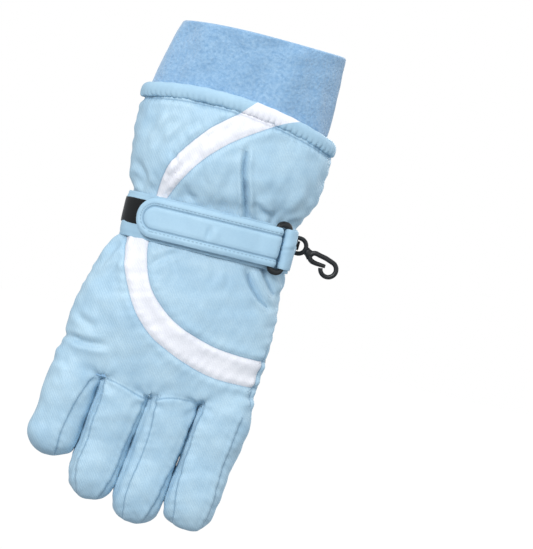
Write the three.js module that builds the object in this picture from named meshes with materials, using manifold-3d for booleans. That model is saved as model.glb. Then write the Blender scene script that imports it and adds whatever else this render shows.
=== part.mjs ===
// A right-hand insulated ski glove, held by the wearer's hand with its fingers hanging down.
// Millimetres, +Z up. The origin is the centre of the cuff's mouth, the back of the hand faces -Y,
// the palm faces +Y and the index-finger side is +X. "Depth" is the distance below the mouth.
import * as THREE from "three";
import { mergeVertices } from "three/addons/utils/BufferGeometryUtils.js";
import Module from "manifold-3d";

const wasm = await Module();
wasm.setup();

// ---- Driving dimensions -------------------------------------------------------------------

// The glove's wall from outside to inside: the distance of each layer's two faces from the outline.
const SHELL = { outer: 0, inner: 0.9 };
const WADDING = { outer: 1.3, inner: 4.3 };
const LINING = { outer: 4.7, inner: 6.2 };
const PATCH = { outer: -1.4, inner: -0.4 };
const LAYERS = { shell: SHELL, wadding: WADDING, lining: LINING };
const GAP = 0.4; // between panels that are sewn edge to edge
const THROUGH = 2; // how far a cutting solid runs past what it cuts

// Cross-sections down the glove: centre x, half-width, half-depth, and the roundness of the oval,
// which is 2 for an ellipse and more for a squarer one.
const CUFF = [
  { depth: 51.3, x: 0, y: 0, wide: 62.6, deep: 31, round: 2 },
  { depth: 70, x: 0.4, y: 0, wide: 62.2, deep: 33, round: 2 },
  { depth: 90, x: 0, y: 0, wide: 60.3, deep: 32, round: 2 },
  { depth: 102, x: -1, y: 0, wide: 56.5, deep: 28, round: 2 },
];
const HAND = [
  { depth: 113, x: -1.5, y: 0, wide: 53, deep: 22, round: 2 },
  { depth: 140, x: -1.5, y: 0, wide: 53, deep: 22, round: 2 },
  { depth: 156, x: -6.5, y: 0, wide: 57.5, deep: 22.5, round: 2.2 },
  { depth: 181, x: -9.5, y: 0, wide: 62, deep: 22.6, round: 2.4 },
  { depth: 200, x: -11.3, y: 0, wide: 63.3, deep: 22.2, round: 2.5 },
  { depth: 214, x: -11.6, y: 0, wide: 62.8, deep: 20, round: 2.5 },
  { depth: 230, x: -13.6, y: 0, wide: 64, deep: 17.5, round: 2.5 },
];
const FLEECE = [
  { depth: 0, x: 4.4, y: 0, wide: 52.5, deep: 26, round: 2 },
  { depth: 24, x: 1.4, y: 0, wide: 55.9, deep: 26.5, round: 2 },
  { depth: 44, x: -0.4, y: 0, wide: 57.5, deep: 26, round: 2 },
  { depth: 58, x: 0, y: 0, wide: 57.4, deep: 26, round: 2 },
  { depth: 70, x: 0.4, y: 0, wide: 57.2, deep: 27.6, round: 2 },
  { depth: 90, x: 0, y: 0, wide: 55.2, deep: 26.8, round: 2 },
  { depth: 102, x: -1, y: 0, wide: 51.2, deep: 22.8, round: 2 },
];
const FLEECE_WALL = 3;
const CUFF_END = 102;
const HAND_TOP = 113;
const HAND_END_BACK = 230; // where the back of the hand stops, above the fingers
const HAND_END_PALM = 221.5; // the palm stops higher, to leave room for the fingers to bend

// The rolled hem round the cuff dips towards both sides, more on the index side.
const HEM = { depth: 46, half: 4.9, thick: 3.1, wide: 64.5, deep: 33.2, tilt: 0.0766, arch: 0.00202 };

// Each finger: where its root is, its half-width, and the lengths from the root to its middle bend
// and to its tip. All four lean the same way and share one thickness.
const FINGERS = {
  index: { x: 35, depth: 236, wide: 16.6, bend: 36, length: 76.5 },
  middle: { x: 2, depth: 237, wide: 14.9, bend: 37.5, length: 79 },
  ring: { x: -29.5, depth: 236, wide: 15.7, bend: 34, length: 72 },
  little: { x: -62, depth: 233, wide: 15.4, bend: 24.5, length: 54 },
};
const FINGER_DEEP = 14.5;
const FINGER_LEAN = THREE.MathUtils.degToRad(7.5);
const FINGER_CREASE = 5; // a finger bends about a line this far to the palm side of its middle
const FINGER_NOTCH = 8.6; // the palm side is cut back this far above a bend

// The thumb grows out of the palm near the index side and stands off the palm.
const THUMB = {
  x: 20,
  y: 38.5,
  depth: 186,
  wide: 22,
  deep: 15,
  bend: 36,
  length: 80,
  dome: 25,
  lean: THREE.MathUtils.degToRad(9),
  off: THREE.MathUtils.degToRad(28),
};
const THUMB_CREASE = -9; // the thumb bends across the palm, about a line this far to that side
const THUMB_NOTCH = 8.6;
const THUMB_ROOT = [
  { depth: -50, x: 0, y: 0, wide: 11, deep: 8, round: 2 },
  { depth: -19, x: 0, y: 0, wide: 26, deep: 12.5, round: 2 },
  { depth: -10, x: 0, y: 0, wide: 23.5, deep: 14.5, round: 2 },
];
const SWING_GAP = 0.8; // a segment starts this far below its hinge line

// The two white strips: a quarter oval on the hand, and a curve that climbs the cuff.
const HAND_STRIP = { x: 48, depth: 141, wide: 92, deep: 66, halfSide: 7, halfEnd: 8.3, topX: -38 };
const CUFF_STRIP = { from: [-37, 114], bendA: [-34, 88], bendB: [-5, 66], to: [33, 38], low: 4.6, high: 8 };

// Wrist fastening. Its parts lie round the wrist oval, each between two distances from the shell.
const WRIST = { x: -1.5, wide: 53, deep: 22 };
const BAND = { depth: 127, high: 27, inner: 0.4, outer: 1.4, from: 190, to: 350 };
const LOOP_TAPE = { depth: 125, high: 16, inner: 1.8, outer: 2.8, from: 183, to: 284 };
const HOOK_TAPE = { depth: 126, high: 17, inner: 3.1, outer: 4.1, from: 232, to: 266 };
const STRAP = { depth: 126.3, high: 25, inner: 4.4, outer: 6.8, from: 214, to: 311.3, endX: -45 };
const ELASTIC = { depth: 127, high: 14, inner: -2.8, outer: -1.6, from: 15, to: 165 };
const RING = { x: 44.25, y: -17.25, turn: 30.3, wide: 12.4, high: 33, bar: 2.6, barOffset: 4.9, thick: 2.6 };
const EYE = { inner: 2.3, outer: 3.7 }; // fabric folded round a bar of the ring
const KEEPER = { high: 25, inner: 1.8, outer: 3.2, from: 329.5, to: 356 };

// The snap hook, in its own frame: its D-shaped eye has a straight bar on z, and the hook itself
// starts from the middle of the eye and slopes down from it.
const CLIP = { x: 53, y: 7, depth: 121.5, slope: THREE.MathUtils.degToRad(2.4), thick: 3.2, bar: 2.6 };
const CLIP_EYE = { outer: 6.1, inner: 3.6, straight: 2.6 };
const HOOK = { x: 4.2, slope: THREE.MathUtils.degToRad(24), wall: 2.5, neck: [3.2, 8.2], neckHigh: 4.4 };
const HOOK_START = { x: 10.6, radius: 3.9 };
const HOOK_END = { x: 22.4, radius: 6.3 };
const HOOK_MOUTH = [11.2, 18];
const CLIP_GATE = { root: [12.6, -2.6], tip: [19.4, -0.1], thick: 1.9 };
const CLIP_TAB = { high: 5.6, inner: 2.2, outer: 3.1, length: 3.6, thick: 1.4 };

const SIDES = 24; // round the cuff and hand
const FINGER_SIDES = 10;

// ---- Materials ----------------------------------------------------------------------------

const cloth = (color, roughness = 0.75) => new THREE.MeshStandardMaterial({ color, roughness, metalness: 0 });
const MATERIAL = {
  shell: cloth(0xaed2e6),
  strip: cloth(0xf1eff4),
  fleece: cloth(0x9ac0e0, 0.95),
  wadding: cloth(0xf2f2ee, 0.95),
  lining: cloth(0x93b6d6, 0.95),
  patch: cloth(0x2b2b2d, 0.85),
  tape: cloth(0x1e2021, 0.9),
  elastic: cloth(0xe8e8e4, 0.8),
  plastic: new THREE.MeshStandardMaterial({ color: 0x161719, roughness: 0.4, metalness: 0 }),
};

// ---- Solids -------------------------------------------------------------------------------

// A closed geometry as a manifold-3d solid that faces out.
function solid(geometry) {
  const bare = geometry.index ? geometry.toNonIndexed() : geometry.clone();
  bare.deleteAttribute("normal");
  bare.deleteAttribute("uv");
  const merged = mergeVertices(bare, 1e-4);
  const vertProperties = merged.attributes.position.array;
  const made = new wasm.Manifold(
    new wasm.Mesh({ numProp: 3, vertProperties, triVerts: new Uint32Array(merged.index.array) }),
  );
  if (made.volume() > 0) return made;
  const turned = new Uint32Array(merged.index.array).reverse();
  return new wasm.Manifold(new wasm.Mesh({ numProp: 3, vertProperties, triVerts: turned }));
}

function meshOf(name, made, material) {
  const { numProp, numVert, vertProperties, triVerts } = made.getMesh();
  const position = new Float32Array(numVert * 3);
  for (let i = 0; i < numVert; i++) {
    position.set(vertProperties.subarray(i * numProp, i * numProp + 3), i * 3);
  }
  const geometry = new THREE.BufferGeometry();
  geometry.setAttribute("position", new THREE.BufferAttribute(position, 3));
  geometry.setIndex(new THREE.BufferAttribute(triVerts, 1));
  const mesh = new THREE.Mesh(geometry, material);
  mesh.name = name;
  return mesh;
}

function box(low, high) {
  const [size, middle] = [new THREE.Vector3(), new THREE.Vector3()];
  const bounds = new THREE.Box3(new THREE.Vector3(...low), new THREE.Vector3(...high));
  bounds.getSize(size);
  bounds.getCenter(middle);
  return solid(new THREE.BoxGeometry(size.x, size.y, size.z).translate(middle.x, middle.y, middle.z));
}

// An outline in x and z, made solid from y = near to y = far.
function slab(shape, near, far) {
  const geometry = new THREE.ExtrudeGeometry(shape, { depth: far - near, bevelEnabled: false, curveSegments: 10 });
  return solid(geometry.rotateX(Math.PI / 2).translate(0, far, 0));
}

// An outline in x and y, made solid over a height centred on the given depth.
function column(shape, depth, high, curveSegments = 20) {
  const geometry = new THREE.ExtrudeGeometry(shape, { depth: high, bevelEnabled: false, curveSegments });
  return solid(geometry.translate(0, 0, -depth - high / 2));
}

// The cross-section at a depth, between the two stations that it lies between.
function sectionAt(stations, depth) {
  const next = stations.findIndex((station) => station.depth > depth);
  const last = next < 0 ? stations.length - 1 : Math.max(next, 1);
  const [from, to] = [stations[last - 1], stations[last]];
  const share = THREE.MathUtils.clamp((depth - from.depth) / (to.depth - from.depth), 0, 1);
  const mix = (key) => THREE.MathUtils.lerp(from[key], to[key], share);
  return { x: mix("x"), y: mix("y"), wide: mix("wide"), deep: mix("deep"), round: mix("round") };
}

// Presses a lathe of radius REACH into the ovals of the stations. A point's radius below REACH is its
// distance inside the outline, and a point on the axis goes to the oval's centre.
const REACH = 200;
function pressed(profile, stations, sides, shift) {
  const geometry = new THREE.LatheGeometry(profile, sides);
  const position = geometry.attributes.position;
  const rounded = (value, round) => Math.sign(value) * Math.abs(value) ** (2 / round);
  for (let i = 0; i < position.count; i++) {
    const [side, front] = [position.getX(i), position.getZ(i)];
    const [radius, depth] = [Math.hypot(side, front), -position.getY(i)];
    const section = sectionAt(stations, depth);
    const inset = REACH - radius;
    const off = radius > 1;
    const x = section.x + (off ? (section.wide - inset) * rounded(side / radius, section.round) : 0);
    const y = section.y + (off ? (section.deep - inset) * rounded(front / radius, section.round) : 0);
    position.setXYZ(i, x, y, -depth - shift(x, depth));
  }
  return solid(geometry);
}

const level = () => 0;

// The solid inside the outline of the stations, from one depth to another, made smaller by inset.
function body(stations, from, to, inset, { sides = SIDES, shift = level } = {}) {
  const inside = stations.map((station) => station.depth).filter((depth) => depth > from && depth < to);
  const wall = [from, ...inside, to].map((depth) => new THREE.Vector2(REACH - inset, -depth));
  const profile = [new THREE.Vector2(0, -from), ...wall, new THREE.Vector2(0, -to)];
  return pressed(profile, stations, sides, shift);
}

// A band round part of the wrist oval, between two distances from the shell. Angles run from +X.
function wristBand({ depth, high, inner, outer, from, to }) {
  const [start, end] = [THREE.MathUtils.degToRad(from), THREE.MathUtils.degToRad(to)];
  const shape = new THREE.Shape();
  shape.absellipse(WRIST.x, 0, WRIST.wide + outer, WRIST.deep + outer, start, end, false, 0);
  shape.absellipse(WRIST.x, 0, WRIST.wide + inner, WRIST.deep + inner, end, start, true, 0);
  return column(shape, depth, high);
}

function ringShape(x, y, outer, inner) {
  const shape = new THREE.Shape().absarc(x, y, outer, 0, 2 * Math.PI, false);
  shape.holes.push(new THREE.Path().absarc(x, y, inner, 0, 2 * Math.PI, true));
  return shape;
}

// ---- Cuff ---------------------------------------------------------------------------------

const hemDrop = (x) => HEM.tilt * x + HEM.arch * x * x;

// The cuff's top edge follows the hem, and the dip fades out towards the wrist.
function cuffShift(x, depth) {
  const fade = (CUFF_END - depth) / (CUFF_END - CUFF[0].depth);
  return hemDrop(x) * THREE.MathUtils.clamp(fade, 0, 1);
}

function cuffLayer({ outer, inner }) {
  const whole = body(CUFF, CUFF[0].depth, CUFF_END, outer, { shift: cuffShift });
  const hollow = body(CUFF, CUFF[0].depth - THROUGH, CUFF_END + THROUGH, inner, { shift: cuffShift });
  return whole.subtract(hollow);
}

function hemRing() {
  const profile = [];
  const corners = 8;
  for (let i = 0; i <= corners; i++) {
    const angle = (2 * Math.PI * (i % corners)) / corners;
    const inset = HEM.thick - HEM.thick * Math.cos(angle);
    profile.push(new THREE.Vector2(REACH - inset, -HEM.depth + HEM.half * Math.sin(angle)));
  }
  const oval = { x: 0, y: 0, wide: HEM.wide, deep: HEM.deep, round: 2 };
  const stations = [HEM.depth - HEM.half, HEM.depth + HEM.half].map((depth) => ({ ...oval, depth }));
  return pressed(profile, stations, SIDES, hemDrop);
}

// The outline of the cuff's white strip, wider by extra on both sides.
function cuffStripShape(extra) {
  const points = [CUFF_STRIP.from, CUFF_STRIP.bendA, CUFF_STRIP.bendB, CUFF_STRIP.to];
  const line = new THREE.CubicBezierCurve(...points.map(([x, depth]) => new THREE.Vector2(x, -depth)));
  const steps = 10;
  const side = (sign) =>
    Array.from({ length: steps + 1 }, (_, i) => {
      const share = i / steps;
      const half = THREE.MathUtils.lerp(CUFF_STRIP.low, CUFF_STRIP.high, share) + extra;
      const along = line.getTangent(share);
      return line.getPoint(share).add(new THREE.Vector2(-along.y, along.x).multiplyScalar(sign * half));
    });
  return new THREE.Shape([...side(1), ...side(-1).reverse()]);
}

function cuff() {
  const group = new THREE.Group();
  const shell = cuffLayer(SHELL);
  const [front, back] = [-GAP / 2, GAP / 2];
  const farX = 100;
  const backHalf = shell.intersect(box([-farX, -farX, -CUFF_END - THROUGH], [farX, front, 0]));
  const palmHalf = shell.intersect(box([-farX, back, -CUFF_END - THROUGH], [farX, farX, 0]));
  const strip = slab(cuffStripShape(0), -farX, front);
  const stripCut = slab(cuffStripShape(GAP), -farX, GAP);
  const panels = backHalf.subtract(stripCut).decompose();
  panels.sort((a, b) => a.boundingBox().min[0] - b.boundingBox().min[0]);
  const hem = hemRing();
  const fleeceInside = body(FLEECE, -THROUGH, CUFF_END + THROUGH, FLEECE_WALL);
  group.add(
    meshOf("cuff_back_outer_panel", panels[0], MATERIAL.shell),
    meshOf("cuff_back_inner_panel", panels[1], MATERIAL.shell),
    meshOf("cuff_strip", backHalf.intersect(strip), MATERIAL.strip),
    meshOf("cuff_palm_panel", palmHalf, MATERIAL.shell),
    meshOf("cuff_wadding", cuffLayer(WADDING), MATERIAL.wadding),
    meshOf("cuff_hem", hem.subtract(stripCut), MATERIAL.shell),
    meshOf("hem_strip", hem.intersect(strip), MATERIAL.strip),
    meshOf("fleece_cuff", body(FLEECE, 0, CUFF_END, 0).subtract(fleeceInside), MATERIAL.fleece),
  );
  return group;
}

// ---- Hand ---------------------------------------------------------------------------------

const thumbPlace = new THREE.Object3D();
thumbPlace.position.set(THUMB.x, THUMB.y, -THUMB.depth);
thumbPlace.rotation.set(THUMB.off, THUMB.lean, 0);
thumbPlace.updateMatrix();

// The thumb's root, which the hand's layers open into, in the hand's frame.
function thumbRoot(inset, past) {
  const made = body(THUMB_ROOT, THUMB_ROOT[0].depth - past, THUMB_ROOT.at(-1).depth + past, inset);
  return made.transform(thumbPlace.matrix.toArray());
}

function handWhole(inset, past = 0) {
  const palm = body(HAND, HAND_TOP - past, HAND_END_BACK + past, inset);
  return palm.add(thumbRoot(inset, past));
}

// What a hand layer loses so that the fingers have room to bend towards the palm.
const bendRoom = box([-100, FINGER_CREASE - 1, -HAND_END_BACK - THROUGH], [100, 100, -HAND_END_PALM]);

function handLayer({ outer, inner }) {
  return handWhole(outer).subtract(handWhole(inner, THROUGH)).subtract(bendRoom);
}

// The outline of the hand's white strip: up under the strap on one side, to the side seam on the other.
function handStripShape(extra) {
  const { x, depth, wide, deep, halfSide, halfEnd, topX } = HAND_STRIP;
  const [side, end] = [halfSide + extra, halfEnd + extra];
  const right = 80;
  const shape = new THREE.Shape();
  shape.moveTo(topX - side, -HAND_TOP + THROUGH);
  shape.lineTo(x - wide - side, -depth);
  shape.absellipse(x, -depth, wide + side, deep + end, Math.PI, 1.5 * Math.PI, false, 0);
  shape.lineTo(right, -depth - deep - end);
  shape.lineTo(right, -depth - deep + end);
  shape.lineTo(x, -depth - deep + end);
  shape.absellipse(x, -depth, wide - side, deep - end, 1.5 * Math.PI, Math.PI, true, 0);
  shape.lineTo(topX + side, -HAND_TOP + THROUGH);
  return shape;
}

// The black reinforcement across the palm, highest beside the thumb.
function palmPatch() {
  const corners = [[-90, 218], [70, 216], [70, 190], [22, 168], [-10, 163], [-90, 171]];
  const outline = new THREE.Shape(corners.map(([x, depth]) => new THREE.Vector2(x, -depth)));
  const skin = handWhole(PATCH.outer).subtract(handWhole(PATCH.inner, THROUGH));
  const lyingOn = slab(outline, 4, 100).subtract(thumbRoot(PATCH.outer - GAP, THROUGH));
  return skin.intersect(lyingOn);
}

function hand() {
  const group = new THREE.Group();
  const shell = handLayer(SHELL);
  const farX = 100;
  const backHalf = shell.intersect(box([-farX, -farX, -HAND_END_BACK - THROUGH], [farX, -GAP / 2, 0]));
  const palmHalf = shell.intersect(box([-farX, GAP / 2, -HAND_END_BACK - THROUGH], [farX, farX, 0]));
  const strip = backHalf.intersect(slab(handStripShape(0), -farX, 0));
  const panels = backHalf.subtract(slab(handStripShape(GAP), -farX, GAP)).decompose();
  panels.sort((a, b) => b.boundingBox().min[2] - a.boundingBox().min[2]);
  const groove = wristBand({ ...ELASTIC, high: ELASTIC.high + 1, inner: ELASTIC.inner - GAP, outer: -0.9 });
  group.add(
    meshOf("hand_back_inner_panel", panels[0], MATERIAL.shell),
    meshOf("hand_back_outer_panel", panels[1], MATERIAL.shell),
    meshOf("hand_strip", strip, MATERIAL.strip),
    meshOf("palm_panel", palmHalf, MATERIAL.shell),
    meshOf("palm_patch", palmPatch(), MATERIAL.patch),
    meshOf("hand_wadding", handLayer(WADDING).subtract(groove), MATERIAL.wadding),
    meshOf("hand_lining", handLayer(LINING), MATERIAL.lining),
    meshOf("wrist_elastic", wristBand(ELASTIC), MATERIAL.elastic),
    meshOf("wrist_band", wristBand(BAND), MATERIAL.shell),
    meshOf("loop_tape", wristBand(LOOP_TAPE), MATERIAL.tape),
  );
  return group;
}

// ---- Fingers and thumb --------------------------------------------------------------------

// The solid of a finger between two distances from its root, in the finger's own frame. One that runs
// to the fingertip ends in a dome.
function fingerSolid({ wide, deep, length, dome }, from, to, inset) {
  const radius = wide - inset;
  const profile = [new THREE.Vector2(0, -from), new THREE.Vector2(radius, -from)];
  if (to < length) {
    profile.push(new THREE.Vector2(radius, -to), new THREE.Vector2(0, -to));
  } else {
    const steps = 3;
    for (let i = 0; i <= steps; i++) {
      const angle = (i * Math.PI) / 2 / steps;
      const across = i === steps ? 0 : radius * Math.cos(angle);
      profile.push(new THREE.Vector2(across, -(length - dome) - (dome - inset) * Math.sin(angle)));
    }
  }
  const geometry = new THREE.LatheGeometry(profile, FINGER_SIDES).rotateX(Math.PI / 2);
  return solid(geometry.scale(1, (deep - inset) / radius, 1));
}

// The two segments of a digit, three layers each. The inner side above the bend is cut back by notch.
function digit(name, form, notch) {
  const group = new THREE.Group();
  const baseEnd = form.bend - SWING_GAP;
  for (const [kind, { outer, inner }] of Object.entries(LAYERS)) {
    const base = fingerSolid(form, SWING_GAP, baseEnd, outer)
      .subtract(fingerSolid(form, SWING_GAP - THROUGH, baseEnd + THROUGH, inner))
      .subtract(notch);
    const tip = fingerSolid(form, form.bend + SWING_GAP, form.length, outer).subtract(
      fingerSolid(form, form.bend - THROUGH, form.length, inner),
    );
    group.add(
      meshOf(`${name}_base_${kind}`, base, MATERIAL[kind]),
      meshOf(`${name}_tip_${kind}`, tip, MATERIAL[kind]),
    );
  }
  return group;
}

function finger(name) {
  const size = FINGERS[name];
  const [low, high] = [-size.bend - THROUGH, FINGER_NOTCH - size.bend];
  const notch = box([-60, FINGER_CREASE - 1, low], [60, 60, high]);
  const group = digit(name, { ...size, deep: FINGER_DEEP, dome: size.wide }, notch);
  group.position.set(size.x, 0, -size.depth);
  group.rotation.y = FINGER_LEAN;
  return group;
}

function thumb() {
  const [low, high] = [-THUMB.bend - THROUGH, THUMB_NOTCH - THUMB.bend];
  const group = digit("thumb", THUMB, box([-60, -60, low], [THUMB_CREASE + 1, 60, high]));
  group.position.copy(thumbPlace.position);
  group.rotation.copy(thumbPlace.rotation);
  return group;
}

// ---- Wrist strap and its ring -------------------------------------------------------------

// Where the middle of the ring's bar on the given side lies: -1 holds the strap, 1 the keeper.
function ringBar(side) {
  const turn = THREE.MathUtils.degToRad(RING.turn);
  const along = side * RING.barOffset;
  return [RING.x + along * Math.cos(turn), RING.y + along * Math.sin(turn)];
}

function roundedBar(wide, high, radius) {
  const [x, z] = [wide / 2, high / 2];
  const shape = new THREE.Shape();
  shape.absarc(x - radius, z - radius, radius, 0, Math.PI / 2, false);
  shape.absarc(radius - x, z - radius, radius, Math.PI / 2, Math.PI, false);
  shape.absarc(radius - x, radius - z, radius, Math.PI, 1.5 * Math.PI, false);
  shape.absarc(x - radius, radius - z, radius, 1.5 * Math.PI, 2 * Math.PI, false);
  return shape;
}

function buckleRing() {
  const outer = slab(roundedBar(RING.wide, RING.high, 3), -RING.thick / 2, RING.thick / 2);
  const [wide, high] = [RING.wide - 2 * RING.bar, RING.high - 2 * RING.bar];
  const window = slab(roundedBar(wide, high, 1), -RING.thick, RING.thick);
  const mesh = meshOf("buckle_ring", outer.subtract(window), MATERIAL.plastic);
  mesh.position.set(RING.x, RING.y, -STRAP.depth);
  mesh.rotation.z = THREE.MathUtils.degToRad(RING.turn);
  return mesh;
}

// The strap's free end is round, and its other end is folded round the ring.
function strapTab() {
  const radius = STRAP.high / 2;
  const outline = new THREE.Shape();
  outline.absarc(STRAP.endX + radius, -STRAP.depth, radius, Math.PI / 2, 1.5 * Math.PI, false);
  outline.lineTo(100, -STRAP.depth - radius);
  outline.lineTo(100, -STRAP.depth + radius);
  const eye = column(ringShape(...ringBar(-1), EYE.outer, EYE.inner), STRAP.depth, STRAP.high, 8);
  return wristBand(STRAP).intersect(slab(outline, -100, 0)).add(eye);
}

function ringKeeper() {
  const eye = column(ringShape(...ringBar(1), EYE.outer, EYE.inner), STRAP.depth, KEEPER.high, 8);
  return wristBand({ ...KEEPER, depth: STRAP.depth }).add(eye);
}

function wristFastening() {
  const group = new THREE.Group();
  group.add(
    buckleRing(),
    meshOf("strap_tab", strapTab(), MATERIAL.shell),
    meshOf("strap_hook_tape", wristBand(HOOK_TAPE), MATERIAL.tape),
    meshOf("ring_keeper", ringKeeper(), MATERIAL.shell),
  );
  return group;
}

// ---- Snap hook ----------------------------------------------------------------------------

// The D-shaped eye: a straight bar on z, closed by half an oval.
function clipEye() {
  const shape = new THREE.Shape();
  const half = CLIP.bar / 2;
  shape.moveTo(-half, CLIP_EYE.outer);
  shape.lineTo(-half, -CLIP_EYE.outer);
  shape.lineTo(CLIP_EYE.straight, -CLIP_EYE.outer);
  shape.absellipse(CLIP_EYE.straight, 0, CLIP_EYE.outer, CLIP_EYE.outer, -Math.PI / 2, Math.PI / 2, false, 0);
  const hole = new THREE.Path();
  hole.moveTo(half, CLIP_EYE.inner);
  hole.lineTo(half, -CLIP_EYE.inner);
  hole.lineTo(CLIP_EYE.straight, -CLIP_EYE.inner);
  hole.absellipse(CLIP_EYE.straight, 0, CLIP_EYE.inner, CLIP_EYE.inner, -Math.PI / 2, Math.PI / 2, false, 0);
  shape.holes.push(hole);
  return slab(shape, -CLIP.thick / 2, CLIP.thick / 2);
}

// The outline round two circles on the x axis: the small one at the start, the large one at the end.
function taperedOval(inset) {
  const [start, end] = [HOOK_START.radius - inset, HOOK_END.radius - inset];
  const lean = Math.asin((end - start) / (HOOK_END.x - HOOK_START.x));
  const tangent = Math.PI / 2 + lean;
  const shape = new THREE.Shape();
  shape.absarc(HOOK_END.x, 0, end, -tangent, tangent, false);
  shape.absarc(HOOK_START.x, 0, start, tangent, 2 * Math.PI - tangent, false);
  return shape;
}

function clipHook() {
  const half = CLIP.thick / 2;
  const rim = slab(taperedOval(0), -half, half);
  const inside = slab(taperedOval(HOOK.wall), -CLIP.thick, CLIP.thick);
  const [from, to] = HOOK_MOUTH;
  const mouth = box([from, -CLIP.thick, -8], [to, CLIP.thick, -1.2]);
  const neck = box([HOOK.neck[0], -half, -HOOK.neckHigh / 2], [HOOK.neck[1], half, HOOK.neckHigh / 2]);
  const hook = rim.subtract(inside).subtract(mouth).add(neck);
  const slope = THREE.MathUtils.radToDeg(HOOK.slope);
  return clipEye().add(hook.rotate([0, slope, 0]).translate([HOOK.x, 0, 0]));
}

// The springy tongue that closes the hook, from its root to its tip inside the hook's end.
function clipGate() {
  const [root, tip] = [new THREE.Vector2(...CLIP_GATE.root), new THREE.Vector2(...CLIP_GATE.tip)];
  const along = tip.clone().sub(root);
  const shape = new THREE.Shape();
  const half = CLIP_GATE.thick / 2;
  shape.absarc(0, 0, half, Math.PI / 2, 1.5 * Math.PI, false);
  shape.absarc(along.length() - half, 0, half, -Math.PI / 2, Math.PI / 2, false);
  const mesh = meshOf("clip_gate", slab(shape, 0.3 - CLIP.thick / 2, CLIP.thick / 2 - 0.3), MATERIAL.plastic);
  const turned = root.clone().rotateAround(new THREE.Vector2(), -HOOK.slope);
  mesh.position.set(HOOK.x + turned.x, 0, turned.y);
  mesh.rotation.y = HOOK.slope - along.angle();
  return mesh;
}

// The tab that holds the clip: folded round the bar of its eye, and sewn into the side seam.
function clipTab() {
  const eye = column(ringShape(0, 0, CLIP_TAB.outer, CLIP_TAB.inner), 0, CLIP_TAB.high, 8);
  const [thick, high] = [CLIP_TAB.thick / 2, CLIP_TAB.high / 2];
  return eye.add(box([-CLIP_TAB.length, -thick, -high], [-CLIP_TAB.inner - 0.5, thick, high]));
}

function snapHook() {
  const group = new THREE.Group();
  group.position.set(CLIP.x, CLIP.y, -CLIP.depth);
  group.rotation.y = CLIP.slope;
  group.add(
    meshOf("clip_hook", clipHook(), MATERIAL.plastic),
    clipGate(),
    meshOf("clip_tab", clipTab(), MATERIAL.tape),
  );
  return group;
}

// ---- The glove ----------------------------------------------------------------------------

const glove = new THREE.Group();
glove.add(cuff(), hand(), ...Object.keys(FINGERS).map(finger), thumb(), wristFastening(), snapHook());

export default glove;
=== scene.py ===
"""The looks of the ski glove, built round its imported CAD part. Lengths below are in millimetres unless
a name says otherwise, and MM turns them into the frame's metres. Depth is the distance below the
cuff's mouth."""

import math

import bmesh
import bpy
import numpy as np
from mathutils import Euler, Matrix, Vector


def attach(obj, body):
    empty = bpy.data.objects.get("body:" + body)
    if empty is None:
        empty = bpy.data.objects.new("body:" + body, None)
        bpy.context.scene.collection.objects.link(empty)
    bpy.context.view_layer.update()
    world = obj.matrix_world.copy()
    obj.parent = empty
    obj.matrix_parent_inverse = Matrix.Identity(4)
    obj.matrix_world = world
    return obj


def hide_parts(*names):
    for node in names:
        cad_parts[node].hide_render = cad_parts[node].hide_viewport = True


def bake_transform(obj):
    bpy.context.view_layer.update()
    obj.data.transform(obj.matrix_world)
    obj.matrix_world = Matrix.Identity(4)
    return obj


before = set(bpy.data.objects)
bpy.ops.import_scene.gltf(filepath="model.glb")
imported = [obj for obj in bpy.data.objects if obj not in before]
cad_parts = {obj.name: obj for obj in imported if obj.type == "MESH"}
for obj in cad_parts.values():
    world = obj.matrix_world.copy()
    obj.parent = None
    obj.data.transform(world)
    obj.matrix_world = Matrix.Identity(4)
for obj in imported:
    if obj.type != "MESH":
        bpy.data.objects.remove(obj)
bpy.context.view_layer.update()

MM = 0.001
GRID = 1.2  # spacing of the grid that the skin is drawn from

# ---- Dimensions ---------------------------------------------------------------------------

# Down the glove: depth, centre x, half-width, half-depth, roundness (2 is an ellipse).
BODY = np.array(
    [
        (40, 0.0, 63.2, 31.5, 2.0),
        (52, 0.2, 63.0, 32.5, 2.0),
        (70, 0.4, 62.2, 33.5, 2.0),
        (90, 0.2, 60.6, 32.5, 2.0),
        (102, -1.0, 57.0, 28.5, 2.0),
        (109, -1.5, 53.4, 23.6, 2.0),
        (114, -1.5, 52.6, 22.2, 2.0),
        (126, -1.5, 52.2, 21.6, 2.0),
        (138, -1.7, 52.2, 22.0, 2.0),
        (146, -4.5, 55.6, 23.0, 2.1),
        (156, -6.6, 57.6, 23.4, 2.2),
        (168, -7.6, 60.2, 23.4, 2.3),
        (181, -9.5, 62.2, 22.8, 2.4),
        (200, -11.3, 63.4, 21.2, 2.45),
        (214, -11.8, 62.8, 18.8, 2.5),
        (226, -13.4, 64.2, 16.2, 2.5),
        (236, -14.4, 64.6, 14.2, 2.5),
    ]
)
# The hem's outline, how far its depth tilts with x, and how far it arches with x squared.
HEM = dict(depth=45.6, half=4.6, thick=3.3, wide=64.3, deep=33.2, tilt=0.0766, arch=0.00202)

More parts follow.
